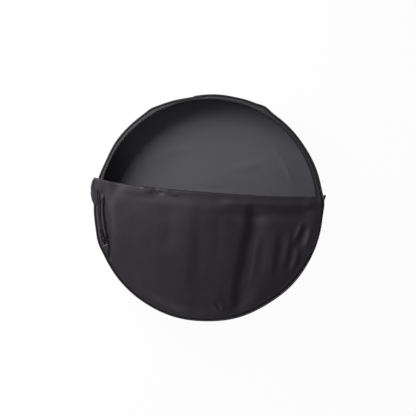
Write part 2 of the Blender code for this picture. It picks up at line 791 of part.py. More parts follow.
def add_pull(body, height):
    """The pull tab, with an eye round the arch. Its origin is on the bar that turns under the arch."""
    half = PULL_THICKNESS / 2
    eye_half = PULL_EYE_WIDTH / 2
    rail = (PULL_WIDTH - PULL_EYE_WIDTH) / 2
    far = PULL_BAR / 2 + PULL_EYE_LENGTH
    makers = [
        lambda work: box(work, (0, 0, 0), (PULL_WIDTH, PULL_BAR, PULL_THICKNESS)),
        lambda work: solid_from_outline(work, grip_outline(far), -half, half),
    ]
    for side in (-1, 1):
        makers.append(lambda work, side=side: box(
            work, (side * (eye_half + rail / 2), -far / 2, 0),
            (rail, far + PULL_BAR, PULL_THICKNESS)))
    pull = joined("pull_tab", makers, METAL)
    hole_place = (0, -PULL_LENGTH + PULL_WIDTH / 2, 0)
    hole_cutter = cutter("pull_hole", PULL_HOLE_RADIUS, PULL_THICKNESS * 2, hole_place)
    hole_cutter.parent = pull
    cut = pull.modifiers.new("cord hole", "BOOLEAN")
    cut.operation = "DIFFERENCE"
    cut.object = hole_cutter
    pull.parent = body
    pull.location.z = height


def grip_outline(far):
    """The outline of the pull's grip, which narrows and ends round."""
    half = PULL_WIDTH / 2
    waist = half * PULL_WAIST_SHARE
    centre = -PULL_LENGTH + half
    turns = [math.pi * (1 + n / PULL_END_STEPS) for n in range(1, PULL_END_STEPS)]
    eye = -far - PULL_EYE_LENGTH / 2
    points = [(-half, -far + PULL_BAR), (-half, -far), (-waist, eye), (-half, centre)]
    points += [(half * math.cos(turn), centre + half * math.sin(turn)) for turn in turns]
    points += [(half, centre), (waist, eye), (half, -far), (half, -far + PULL_BAR)]
    return points


def cutter(name, radius, depth, place):
    """A round cutter, kept out of the render in a collection of its own."""
    holder = bpy.data.collections.get("cutters")
    if holder is None:
        holder = bpy.data.collections.new("cutters")
        bpy.context.scene.collection.children.link(holder)
    work = bmesh.new()
    ends = {"radius1": radius, "radius2": radius}
    bmesh.ops.create_cone(work, cap_ends=True, segments=HOLE_SIDES, depth=depth, **ends)
    made = bpy.data.objects.new(name, mesh_from(work, name))
    holder.objects.link(made)
    made.location = place
    made.hide_render = True
    made.display_type = "WIRE"
    return made


def slack(angle):
    """How far the handle's webbing stands off the side band at an angle from the top."""
    share = (abs(angle) / HANDLE_HALF_ANGLE - SLACK_CENTRE_SHARE) / SLACK_WIDTH_SHARE
    if abs(share) >= 1:
        return 0.0
    return HANDLE_SLACK * (1 + math.cos(math.pi * share)) / 2


def webbing(name, start, end, width, thickness, finish, lift=0.0, steps=STEP / 2):
    """A length of webbing along the outside of the side band, from one angle from the top to another."""
    middle = BAG_DEPTH / 2
    base = GUSSET_OUTSIDE + GUSSET_CROWN + LAYER_GAP + lift
    sections = []
    for angle in arc_angles(start, end, steps):
        inner = base if lift else base + slack(angle)
        outer = inner + thickness
        turned = TOP + angle
        low, high = middle - width / 2, middle + width / 2
        sections.append([
            polar(inner, turned, low), polar(inner, turned, high),
            polar(outer, turned, high), polar(outer, turned, low),
        ])
    return loft(name, sections, finish)


def add_handle():
    """The webbing handle over the top of the side band, its doubled grip and its sewn ends."""
    grip_half = GRIP_LENGTH / 2 / BAG_RADIUS
    gap = LAYER_GAP / BAG_RADIUS
    webbing("handle_strap_left", grip_half + gap, HANDLE_HALF_ANGLE, HANDLE_WIDTH, HANDLE_THICKNESS, TAPE)
    inner = -grip_half - gap
    webbing("handle_strap_right", -HANDLE_HALF_ANGLE, inner, HANDLE_WIDTH, HANDLE_THICKNESS, TAPE)
    webbing("handle_grip", -grip_half, grip_half, GRIP_WIDTH, GRIP_THICKNESS, TAPE)
    rise = HANDLE_THICKNESS + LAYER_GAP
    length = ANCHOR_LENGTH / BAG_RADIUS
    edge = ANCHOR_MARGIN / BAG_RADIUS
    width = HANDLE_WIDTH + 2 * ANCHOR_MARGIN
    start, end = HANDLE_HALF_ANGLE + edge - length, HANDLE_HALF_ANGLE + edge
    webbing("handle_anchor_left", start, end, width, ANCHOR_THICKNESS, FABRIC, lift=rise)
    webbing("handle_anchor_right", -end, -start, width, ANCHOR_THICKNESS, FABRIC, lift=rise)


def main():
    clear_scene()
    add_back()
    add_gusset()
    add_front()
    add_zip_on_bag()
    add_zip_corner()
    add_flap()
    add_slider()
    add_handle()


main()
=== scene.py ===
"""The looks of a round wheel bag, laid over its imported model: cloth, piping, zip, handle and the studio."""

import logging
import math
from dataclasses import dataclass, field
from enum import Enum
from typing import Any, Callable, Sequence

import bmesh
import bpy
import numpy as np
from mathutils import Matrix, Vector


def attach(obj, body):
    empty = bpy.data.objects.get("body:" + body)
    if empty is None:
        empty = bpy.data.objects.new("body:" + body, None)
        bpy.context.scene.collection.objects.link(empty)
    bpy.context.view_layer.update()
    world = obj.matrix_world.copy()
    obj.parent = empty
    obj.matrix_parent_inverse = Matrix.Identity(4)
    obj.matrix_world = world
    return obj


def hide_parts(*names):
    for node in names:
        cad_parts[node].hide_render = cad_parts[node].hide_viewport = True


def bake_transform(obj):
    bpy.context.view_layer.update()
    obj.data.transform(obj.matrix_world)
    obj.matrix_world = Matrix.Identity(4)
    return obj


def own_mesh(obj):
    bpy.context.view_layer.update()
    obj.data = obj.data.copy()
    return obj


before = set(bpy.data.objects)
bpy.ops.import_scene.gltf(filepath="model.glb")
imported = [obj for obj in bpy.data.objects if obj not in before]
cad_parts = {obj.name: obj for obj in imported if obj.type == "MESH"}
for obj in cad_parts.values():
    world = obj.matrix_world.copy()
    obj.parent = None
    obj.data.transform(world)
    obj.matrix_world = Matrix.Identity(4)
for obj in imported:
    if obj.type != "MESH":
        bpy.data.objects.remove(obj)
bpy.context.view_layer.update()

log = logging.getLogger("wheel_bag")
MM = 0.001
TURN = 2 * math.pi
TOP = TURN / 4
UP = np.array([0.0, 0.0, 1.0])
WHITE = (1.0, 1.0, 1.0, 1.0)
Array = Grid = np.ndarray
Values = Array | float
Span = tuple[float, float]
Triple = tuple[float, float, float]
Piece = bpy.types.Object
Socket = bpy.types.NodeSocket
Material = bpy.types.Material
Settings = dict[str, Any] | None
Inputs = dict[str | int, Any] | None


# Shape arithmetic


def eased(value: Values, low: Values = 0.0, high: Values = 1.0) -> Array:
    """A share from 0 to 1 that starts and ends gently as a value runs from low to high.

    Args:
        value: The value or values.
        low: Where the share is 0.
        high: Where the share is 1, which may be the lower of the two.

    Returns:
        The share at each value.
    """
    share = np.clip((np.asarray(value, float) - low) / (high - low), 0.0, 1.0)
    return share * share * (3 - 2 * share)


def between(value: Values, rise: Span, fall: Span) -> Array:
    """A share that rises from 0 to 1 over one stretch of values and falls back to 0 over another."""
    return eased(value, *rise) * eased(value, *reversed(fall))


def hump(value: Values, spread: Values) -> Array:
    """A rounded hump, 1 high at 0, that fades over a spread."""
    return np.exp(-((np.asarray(value, float) / spread) ** 2))


def around(radius: Values, angle: Values, level: Values) -> Grid:
    """Points at a radius, an angle and a level, broadcast against each other, with x, y and z last."""
    radius, angle, level = np.broadcast_arrays(radius, angle, level)
    return np.stack([radius * np.cos(angle), radius * np.sin(angle), level], axis=-1).astype(float)


def points_at(x: Array, y: Array, level: Values) -> Grid:
    """Points over places at a level, with x, y and z last."""
    return np.stack(np.broadcast_arrays(x, y, level), axis=-1).astype(float)


def ring(count: int) -> Array:
    """Even angles once round."""
    return np.linspace(0, TURN, count, endpoint=False)


@dataclass(frozen=True)
class Bulge:
    """A place where the rim stands out or in: its middle and half width in degrees, and its height in mm."""

    middle: float
    width: float
    height: float

    def offset(self, angle: Array) -> Array:
        """How far this place moves the rim at each angle, in metres."""
        away = (np.degrees(angle) - self.middle + 180) % 360 - 180
        return self.height * MM * hump(away, self.width)


@dataclass(frozen=True)
class Ridge:
    """A ridge, or a furrow where its height is negative, at a place in one direction, by its half width."""

    height: float
    place: float
    width: float

    def lift(self, value: Values) -> Array:
        """Its height at each value."""
        return self.height * hump(value - self.place, self.width)


@dataclass(frozen=True)
class Rise:
    """A place where a round cloth stands up.

    Attributes:
        height: How far it stands up.
        degrees: The angle where it begins to, and the angle where it is at its full height.
        radii: The radius where it begins to, and the radius where it is at its full height.
    """

    height: float
    degrees: Span
    radii: Span

    def lift(self, degrees: Array, radius: Array) -> Array:
        """How far it stands up at each angle and radius."""
        return self.height * eased(degrees, *self.degrees) * eased(radius, *self.radii)


@dataclass(frozen=True)
class Rumple:
    """Gentle waves of loose cloth: the sum of a few sine waves that run in seeded directions."""

    length: float
    height: float
    waves: int = 7
    seed: int = 1

    def lift(self, x: Array, y: Array) -> Array:
        """The height of the waves.

        Args:
            x: Places along the first direction.
            y: Places along the second direction.

        Returns:
            The height at each place, within about plus and minus the full height.
        """
        chance = np.random.default_rng(self.seed)
        total = np.zeros(np.broadcast(x, y).shape)
        for _ in range(self.waves):
            turn, start = chance.uniform(0, TURN, 2)
            pitch = self.length * chance.uniform(0.7, 1.6)
            total += np.sin(TURN * (x * math.cos(turn) + y * math.sin(turn)) / pitch + start)
        return self.height * total / math.sqrt(self.waves) / 1.4


@dataclass(frozen=True)
class Crease:
    """A ridge, or a furrow where its height is negative, along a line, in mm. Its ends fade by a share."""

    line: tuple[Span, ...]
    width: float
    height: float
    fade: float = 0.35

    def lift(self, x: Array, y: Array) -> Array:
        """The height of the crease at each place.

        Args:
            x: Places to the right, in metres.
            y: Places upwards, in metres.

        Returns:
            The heights, in metres.
        """
        places = np.array(self.line) * MM
        nearest, along, run = np.full(x.shape, np.inf), np.zeros(x.shape), 0.0
        for start, end in zip(places, places[1:]):
            length = math.dist(start, end)
            right, up = (end - start) / length
            share = np.clip((x - start[0]) * right + (y - start[1]) * up, 0, length)
            distance = np.hypot(x - start[0] - share * right, y - start[1] - share * up)
            along = np.where(distance < nearest, run + share, along)
            nearest = np.minimum(distance, nearest)
            run += length
        ends = between(along, (0, self.fade * run), ((1 - self.fade) * run, run))
        return self.height * MM * hump(nearest, self.width * MM) * ends


# The bag's form


@dataclass(frozen=True)
class BagForm:
    """The sizes that the bag's pieces share, in metres and radians. Level 0 is the back, and +Y is the top.

    Attributes:
        radius: The bag's radius.
        depth: Its depth.
        piping: The radius of the cords in the seams.
        shell: The thickness of the outer cloth.
        lining: The thickness of the lining.
        gap: The room between layers.
        zip_radius: The radius of the closed zip's line.
        fabric_edge: The radius of the front cloth's edge beside the zip.
        lining_edge: The radius of the lining's edge there.
        inner_edge: The radius of the sewn edge inside the piping.
        zip_end: How far from the top the zip ends, to either side.
        tape_end: How far from the top its tapes end.
        tab_end: How far from the top its end tabs reach.
        tape_level: The level of the middle of its tapes.
        fold_height: The height of the fold's axis over the middle.
        fold_tilt: How far the fold leans, down to the right.
        fold_lift: How far the fold's visible edge lies over its axis.
        fold_end_rise: How much higher that edge lies at its ends.
        fold_roll: The reach of the cloth that rolls over the fold.
        fold_level: The level of the fold's axis.
        crown: How far the filled front stands over the rim, at its middle.
        bulges: Where the rim leaves its circle.
    """

    radius: float = 0.367
    depth: float = 0.100
    piping: float = 0.003
    shell: float = 0.0012
    lining: float = 0.0008
    gap: float = 0.0003
    zip_radius: float = 0.350
    fabric_edge: float = 0.3418
    lining_edge: float = 0.326
    inner_edge: float = 0.3604
    zip_end: float = math.radians(106.3)
    tape_end: float = math.radians(109.4)
    tab_end: float = math.radians(117.9)
    tape_level: float = 0.0982
    fold_height: float = 0.049
    fold_tilt: float = math.radians(4.3)
    fold_lift: float = 0.002
    fold_end_rise: float = 0.016
    fold_roll: float = 0.006
    fold_level: float = 0.09685
    crown: float = 0.008
    bulges: tuple[Bulge, ...] = (
        Bulge(3, 5, 5.1), Bulge(18, 10, 1.7), Bulge(48, 10, 1.1), Bulge(61, 4, 6.8),
        Bulge(69, 5, 2.4), Bulge(101, 9, -7.5), Bulge(120, 3.5, 3.0), Bulge(155, 8, -3.9),
        Bulge(179, 5, 0.8), Bulge(197, 5, 3.4), Bulge(240, 14, -1.4), Bulge(268, 12, -2.8),
        Bulge(303, 14, -3.9), Bulge(330, 14, -1.9), Bulge(285, 30, -3.0),
    )

    def rim_offset(self, angle: Values) -> Array:
        """How far the front rim stands out past its circle at each angle."""
        angle = np.asarray(angle, float)
        return sum((bulge.offset(angle) for bulge in self.bulges), np.zeros(angle.shape))

    def side_offset(self, angle: Values, level: Values) -> Array:
        """The rim's offset as it fades down the side band to nothing at the back."""
        return self.rim_offset(angle) * eased(level, 0.0, self.depth)

    def from_top(self, angle: Values) -> Array:
        """How far each angle lies from the top of the bag, to either side."""
        turned = (np.asarray(angle, float) - TOP) % TURN
        return np.minimum(turned, TURN - turned)

    def left(self, angle: Values) -> Array:
        """Where an angle lies on the left half of the bag."""
        return (np.asarray(angle, float) - TOP) % TURN < TURN / 2

    def spread(self, angle: Values) -> Array:
        """How far the front half of the open zip lies inside its closed place.

        Args:
            angle: The angles.

        Returns:
            The distance at each angle.
        """
        away, left = self.zip_end - self.from_top(angle), self.left(angle)
        begun = eased(away, np.radians(np.where(left, 0.0, 1.8)), np.radians(np.where(left, 1.2, 3.4)))
        near, most = np.where(left, 0.0030, 0.0020), np.where(left, 0.0055, 0.0020)
        return begun * near + (most - near) * eased(away, math.radians(1.2), self.zip_end)

    def panel_edge(self, angle: Values) -> Array:
        """The radius of the front panel's edge, which leaves the zip past its ends and meets the piping."""
        start = self.fabric_edge - self.spread(angle)
        sewn = self.inner_edge + self.rim_offset(angle)
        return start + (sewn - start) * eased(self.from_top(angle), self.tape_end, self.tab_end)

    def fold_axes(self) -> tuple[Array, Array]:
        """The directions along the fold, to the right, and across it, upwards."""
        lean = self.fold_tilt
        return np.array([math.cos(lean), -math.sin(lean)]), np.array([math.sin(lean), math.cos(lean)])

    def to_fold(self, x: Array, y: Array) -> tuple[Array, Array]:
        """How far each place lies along the fold and across it."""
        along, across = self.fold_axes()
        return x * along[0] + y * along[1], x * across[0] + y * across[1]

    def on_fold(self, side: Values, height: Values) -> tuple[Array, Array]:
        """The x and y of places along the fold and heights across it."""
        along, across = self.fold_axes()
        return side * along[0] + height * across[0], side * along[1] + height * across[1]

    def turned(self, x: Array, y: Array) -> tuple[Array, Array]:
        """The x and y of places turned half round on the fold's axis."""
        side, height = self.to_fold(x, y)
        return self.on_fold(side, 2 * self.fold_height - height)

    def along_fold(self, line: Grid) -> Array:
        """Places along the fold between a line's ends, as many as its points and closer near the ends."""
        first, last = line[[0, -1]] @ self.fold_axes()[0]
        return first + (last - first) * (1 - np.cos(np.linspace(0, math.pi, len(line)))) / 2

    def fold_rise(self, side: Values) -> Array:
        """How much higher the fold lies at places along it than at its middle."""
        return self.fold_end_rise * np.abs(np.asarray(side) / self.radius) ** 3

    def fold_edge(self, side: Values) -> Array:
        """The height of the fold's visible edge at places along it."""
        return self.fold_height + self.fold_lift + self.fold_rise(side)

    def dome(self, x: Array, y: Array) -> Array:
        """How far the filled front stands above the rim."""
        return self.crown * np.maximum(0.0, 1 - (x * x + y * y) / self.fabric_edge ** 2)


FORM = BagForm()


# Meshes


def placed(name: str, data: bpy.types.ID) -> Piece:
    """Makes an object from a mesh, a lamp or a camera, at the origin, and adds it to the scene."""
    made = bpy.data.objects.new(name, data)
    bpy.context.scene.collection.objects.link(made)
    return made


def layer(rows: int, columns: int, loop: bool) -> tuple[Array, Array]:
    """The faces of a grid of points.

    Args:
        rows: The rows of the grid.
        columns: The points in each row.
        loop: Whether each row closes on itself.

    Returns:
        Four point numbers for each face, and the row and column of each corner.
    """
    wide = columns if loop else columns - 1
    i, j = np.meshgrid(np.arange(rows - 1), np.arange(wide), indexing="ij")
    row = np.stack([i, i, i + 1, i + 1], -1).reshape(-1, 4)
    column = np.stack([j, j + 1, j + 1, j], -1).reshape(-1, 4)
    return row * columns + column % columns, np.stack([row, column], -1)


def lengths_along(points: Grid, loop: bool) -> Array:
    """The length from the first point of a line to each other one, and back to the first in a loop."""
    line = np.concatenate([points, points[:1]]) if loop else points
    return np.concatenate([[0.0], np.cumsum(np.linalg.norm(np.diff(line, axis=0), axis=1))])


def mesh_object(name: str, points: Grid, faces: list[list[int]], places: Sequence[Span],
                flat: Array) -> Piece:
    """A mesh object at the origin, its faces turned outwards.

    Args:
        name: The piece's name.
        points: Its points.
        faces: The point numbers of each face.
        places: The texture place of each face's corners in turn, in metres.
        flat: Which faces are shaded flat.

    Returns:
        The object, linked to the scene.
    """
    mesh = bpy.data.meshes.new(name)
    mesh.from_pydata(points.reshape(-1, 3).tolist(), [], faces)
    uv = mesh.uv_layers.new(name="cloth")
    uv.data.foreach_set("uv", np.asarray(places, np.float32).ravel())
    mesh.polygons.foreach_set("use_smooth", ~flat)
    work = bmesh.new()
    work.from_mesh(mesh)
    if work.calc_volume(signed=True) < 0:
        bmesh.ops.reverse_faces(work, faces=work.faces[:])
    work.to_mesh(mesh)
    work.free()
    return placed(name, mesh)


def thick_sheet(name: str, outer: Grid, inner: Grid, loop: bool = False, planar: bool = False) -> Piece:
    """A closed sheet of cloth between two grids of points, with walls round its edges.

    Args:
        name: The piece's name.
        outer: Points of the outer face, rows by columns.
        inner: Points of the inner face.
        loop: Whether the rows close on themselves.
        planar: Whether the cloth was cut flat, so that its weave follows x and y.

    Returns:
        The object.
    """
    rows, columns = outer.shape[:2]
    count = rows * columns
    top, place = layer(rows, columns, loop)
    edges = [np.arange(columns), (rows - 1) * columns + np.arange(columns)[::-1]]
    if not loop:
        right, left = columns * np.arange(1, rows) + columns - 1, columns * np.arange(rows - 2, 0, -1)
        edges = [np.concatenate([edges[0], right, edges[1][1:], left])]
    pairs = [(edge, np.roll(edge, -1)) for edge in edges]
    walls = [np.stack([ahead, edge, edge + count, ahead + count], -1) for edge, ahead in pairs]
    faces = np.concatenate([top, top[:, ::-1] + count, *walls])
    points = np.concatenate([outer.reshape(-1, 3), inner.reshape(-1, 3)])
    if planar:
        uv = points[faces][..., :2]
    else:
        across = lengths_along(outer[rows // 2], loop)
        down = lengths_along(outer[:, columns // 2], False)
        mapped = np.stack([across[place[..., 1]], down[place[..., 0]]], -1)
        flat_place = np.stack([across[np.tile(np.arange(columns), rows)], np.repeat(down, columns)], -1)
        uv = np.concatenate([mapped, mapped[:, ::-1], *(flat_place[wall % count] for wall in walls)])
    flat = np.arange(len(faces)) >= 2 * len(top)
    return mesh_object(name, points, faces.tolist(), uv.reshape(-1, 2), flat)


def cloth(name: str, outer: Grid, thickness: float, planar: bool = False) -> Piece:
    """A closed sheet of one thickness under a grid of points, its weave perhaps along x and y.

    Args:
        name: The piece's name.
        outer: Points of the outer face.
        thickness: Its thickness.
        planar: Whether it was cut flat.

    Returns:
        The piece.
    """
    square = np.cross(np.gradient(outer, axis=1), np.gradient(outer, axis=0))
    size = np.linalg.norm(square, axis=-1, keepdims=True)
    square = square / np.where(size < 1e-12, 1.0, size)
    return thick_sheet(name, outer, outer - square * thickness, planar=planar)


def loft(name: str, sections: Grid, loop: bool = False) -> Piece:
    """A closed tube through sections, each a ring of points, with its ends closed unless it is a loop.

    Args:
        name: The piece's name.
        sections: The rings in turn.
        loop: Whether the last one joins the first.

    Returns:
        The piece.
    """
    count, girth = sections.shape[:2]
    long, wide = lengths_along(sections[:, 0], loop), lengths_along(sections[0], True)
    faces, place = [], []
    for n in range(count if loop else count - 1):
        here, ahead = n * girth, (n + 1) % count * girth
        for k in range(girth):
            beside = (k + 1) % girth
            faces.append([here + k, ahead + k, ahead + beside, here + beside])
            place += [(long[n + i], wide[k + j]) for i, j in ((0, 0), (1, 0), (1, 1), (0, 1))]
    flat = [False] * len(faces)
    if not loop:
        for start, order in ((0, range(girth)), ((count - 1) * girth, range(girth - 1, -1, -1))):
            faces.append([start + k for k in order])
            place += [(long[-1] * (start > 0), wide[k]) for k in order]
            flat.append(True)
    return mesh_object(name, sections, faces, place, np.array(flat))


def rounded_strip(width: float, thickness: float, ridges: int, depth: float, corner: int = 3) -> Array:
    """The section of a woven strip: rounded edges, and shallow ridges along both faces.

    Args:
        width: The strip's width.
        thickness: Its thickness.
        ridges: The ridges across its width.
        depth: Their depth.
        corner: The steps of each rounded edge.

    Returns:
        Places across the width and through the thickness, in a ring.
    """
    half, round_off = width / 2, thickness / 2
    share = np.linspace(0, 1, ridges * 4 + 1)
    across = (half - round_off) * (2 * share - 1)
    wave = depth * (1 - np.cos(TURN * ridges * share)) / 2 - depth
    wave[[0, -1]] = 0.0
    turns = np.linspace(0, math.pi, 2 * corner + 1)[1:-1]
    right = np.stack([half - round_off + round_off * np.sin(turns), round_off * np.cos(turns)], -1)
    top = np.stack([across, round_off + wave], -1)
    bottom = np.stack([across[::-1], -round_off - wave], -1)
    return np.concatenate([top, right, bottom, -right])


def band_sections(strip: Array, radius: Values, angles: Array, level: float) -> Grid:
    """Sections of a strip that runs round the bag at radii and angles, its width along the bag's axis."""
    middle = np.broadcast_to(radius, angles.shape)[:, None]
    return around(middle + strip[:, 1], angles[:, None], level + strip[:, 0])


# Node trees


def add_node(tree: bpy.types.NodeTree, kind: str, settings: Settings = None,
             inputs: Inputs = None) -> bpy.types.Node:
    """Adds a node to a tree.

    Args:
        tree: The tree.
        kind: The node's type.
        settings: Its settings.
        inputs: Values of its sockets, or sockets to link to them, by name or number.

    Returns:
        The node.
    """
    made = tree.nodes.new(kind)
    for key, value in (settings or {}).items():
        setattr(made, key, value)
    for key, value in (inputs or {}).items():
        if isinstance(value, Socket):
            tree.links.new(value, made.inputs[key])
        else:
            made.inputs[key].default_value = value
    return made


class Signal:
    """A number in a shader, whose operators add Math nodes."""

    def __init__(self, shader: "Shader", socket: Socket) -> None:
        """Wraps a socket of a shader."""
        self.shader = shader
        self.socket = socket

    def __add__(self, other: "Signal | float") -> "Signal":
        """The sum."""
        return self.shader.maths("ADD", self, other)

    def __sub__(self, other: "Signal | float") -> "Signal":
        """The difference."""
        return self.shader.maths("SUBTRACT", self, other)

    def __rsub__(self, other: float) -> "Signal":
        """A number less this one."""
        return self.shader.maths("SUBTRACT", other, self)

    def __mul__(self, other: "Signal | float") -> "Signal":
        """The product."""
        return self.shader.maths("MULTIPLY", self, other)

    def __abs__(self) -> "Signal":
        """The number without its sign."""
        return self.shader.maths("ABSOLUTE", self)

    __radd__ = __add__
    __rmul__ = __mul__

    def sine(self) -> "Signal":
        """The sine."""
        return self.shader.maths("SINE", self)

    def above(self, low: float, high: float) -> "Signal":
        """A share from 0 to 1 as the number runs from low to high."""
        settings = {"interpolation_type": "SMOOTHSTEP"}
        return self.shader.signal("ShaderNodeMapRange", 0, settings, {0: self, 1: low, 2: high})


class Shader:
    """A material's node tree while it is made."""

    def __init__(self, name: str) -> None:
        """Starts an empty material."""
        self.material = bpy.data.materials.new(name)
        self.material.use_nodes = True
        self.tree = self.material.node_tree
        self.tree.nodes.clear()

    def node(self, kind: str, settings: Settings = None, inputs: Inputs = None) -> bpy.types.Node:
        """Adds a node, whose sockets may be given signals."""
        given = (inputs or {}).items()
        plain = {key: value.socket if isinstance(value, Signal) else value for key, value in given}
        return add_node(self.tree, kind, settings, plain)

    def signal(self, kind: str, output: str | int = 0, settings: Settings = None,
               inputs: Inputs = None) -> Signal:
        """Adds a node and gives one of its outputs."""
        return Signal(self, self.node(kind, settings, inputs).outputs[output])

    def maths(self, operation: str, *numbers: Signal | float) -> Signal:
        """Adds a Math node for an operation on one or two numbers."""
        return self.signal("ShaderNodeMath", 0, {"operation": operation}, dict(enumerate(numbers)))

    def mixed(self, share: Signal, first: Any, second: Any) -> Signal:
        """A colour between two others."""
        return self.signal("ShaderNodeMix", 2, {"data_type": "RGBA"}, {0: share, 6: first, 7: second})

    def place(self) -> Signal:
        """The place on the object, in metres."""
        return self.signal("ShaderNodeTexCoord", "Object")

    def noise(self, per_metre: float, detail: float) -> Signal:
        """A cloudy number from 0 to 1 with so many clouds in a metre."""
        inputs = {"Vector": self.place(), "Scale": per_metre, "Detail": detail}
        return self.signal("ShaderNodeTexNoise", 0, None, inputs)

    def threads(self) -> tuple[Signal, Signal]:
        """The two directions of the cloth's own map, in metres."""
        place = self.signal("ShaderNodeUVMap", 0, {"uv_map": "cloth"})
        split = self.node("ShaderNodeSeparateXYZ", None, {0: place})
        return Signal(self, split.outputs[0]), Signal(self, split.outputs[1])

    def bumped(self, height: Signal, distance: float, under: Signal | None = None) -> Signal:
        """A normal that follows a height from 0 to 1 over a distance in metres, on top of another normal.

        Args:
            height: The height.
            distance: The distance that 1 stands for.
            under: The other normal.

        Returns:
            The normal.
        """
        inputs: dict[str | int, Any] = {"Height": height, "Distance": distance, "Strength": 1.0}
        if under:
            inputs["Normal"] = under
        return self.signal("ShaderNodeBump", 0, None, inputs)

    def close(self, surface: bpy.types.Node) -> Material:
        """Ends the material with a surface."""
        self.node("ShaderNodeOutputMaterial", None, {0: surface.outputs[0]})
        return self.material

    def finish(self, **sockets: Any) -> Material:
        """Ends the material with a Principled shader, whose sockets are given with _ for each space."""
        named = {key.replace("_", " "): value for key, value in sockets.items()}
        return self.close(self.node("ShaderNodeBsdfPrincipled", None, named))


def colour(tint: Triple, share: float = 1.0) -> tuple[float, ...]:
    """A linear colour with its alpha, made darker or lighter by a share."""
    return *(part * share for part in tint), 1.0


# Finishes


class Weave(Enum):
    """How a cloth's threads cross."""

    PLAIN = "plain"
    RIBBED = "ribbed"
    TWILL = "twill"


@dataclass(frozen=True)
class ClothFinish:
    """A woven cloth, with dull patches and small ripples.

    Attributes:
        slot: The record's material slot, which is not used.
        tint: Its linear colour.
        roughness: Its roughness where it is least worn.
        weave: How its threads cross.
        pitch: The width of one thread, in metres.
        relief: The height of a thread, in metres.
        ripple: The height of the small ripples in it, in metres.
        mottle: How much darker its dull patches are, as a share.
        sheen: The strength of the sheen of its fibres.
        gloss: How much light its surface throws back.
    """

    slot: str
    tint: Triple
    roughness: float = 0.78
    weave: Weave = Weave.PLAIN
    pitch: float = 0.0009
    relief: float = 0.00010
    ripple: float = 0.0005
    mottle: float = 0.20
    sheen: float = 0.08
    gloss: float = 0.22

    def height(self, shader: Shader) -> Signal:
        """The height of the threads, from 0 to 1.

        Args:
            shader: The material's shader.

        Returns:
            The height.
        """
        across, down = shader.threads()
        wave = TURN / (2 * self.pitch)
        if self.weave is Weave.RIBBED:
            return 0.8 * abs((across * wave).sine()) + 0.2 * abs((down * (2.3 * wave)).sine())
        if self.weave is Weave.TWILL:
            return 0.35 + 0.35 * ((across + down) * wave).sine() + 0.3 * abs((down * wave).sine())
        return 0.5 + 0.5 * (across * wave).sine() * (down * wave).sine()

    def build(self, name: str) -> Material:
        """Makes the material.

        Args:
            name: The material's name.

        Returns:
            The material.
        """
        shader = Shader(name)
        threads = self.height(shader)
        patches = shader.noise(16, 4).above(0.38, 0.70)
        shade = 0.7 * patches + 0.3 * shader.noise(900, 1)
        ripples = 0.75 * shader.noise(34, 5) + 0.25 * shader.noise(150, 2)
        light, dark = colour(self.tint, 1 + self.mottle / 2), colour(self.tint, 1 - self.mottle)
        return shader.finish(
            Base_Color=shader.mixed(shade, light, dark),
            Roughness=self.roughness + 0.10 * patches - 0.04 * (1 - threads),
            Normal=shader.bumped(threads, self.relief, shader.bumped(ripples, self.ripple)),
            Sheen_Weight=self.sheen, Sheen_Roughness=0.5, Specular_IOR_Level=self.gloss,
        )


@dataclass(frozen=True)
class MouldedFinish:
    """A moulded plastic or an enamelled metal, with a share of rubbed places."""

    slot: str
    tint: Triple
    worn: Triple
    roughness: float
    metallic: float = 0.0
    wear: float = 0.35

    def build(self, name: str) -> Material:
        """Makes the material.

        Args:
            name: The material's name.

        Returns:
            The material.
        """
        shader = Shader(name)
        rubbed = shader.noise(420, 5).above(0.72 - self.wear * 0.3, 0.86)
        grain = shader.noise(2600, 2)
        return shader.finish(
            Base_Color=shader.mixed(rubbed, colour(self.tint), colour(self.worn)),
            Roughness=self.roughness + 0.12 * (grain - 0.5) + 0.14 * rubbed,
            Normal=shader.bumped(grain, 0.00003), Metallic=self.metallic,
            Coat_Weight=0.15, Coat_Roughness=0.25,
        )


@dataclass(frozen=True)
class SpunFinish:
    """Sewing thread or open foam, with so many threads or pores in a metre and their height."""

    slot: str
    tint: Triple
    grain: float
    relief: float

    def build(self, name: str) -> Material:
        """Makes the material.

        Args:
            name: The material's name.

        Returns:
            The material.
        """
        shader = Shader(name)
        inputs = {"Vector": shader.place(), "Scale": self.grain}
        cells = shader.signal("ShaderNodeTexVoronoi", 0, None, inputs)
        return shader.finish(
            Base_Color=shader.mixed(cells, colour(self.tint, 0.7), colour(self.tint, 1.2)),
            Roughness=0.82 + 0.1 * cells, Normal=shader.bumped(cells, self.relief),
        )


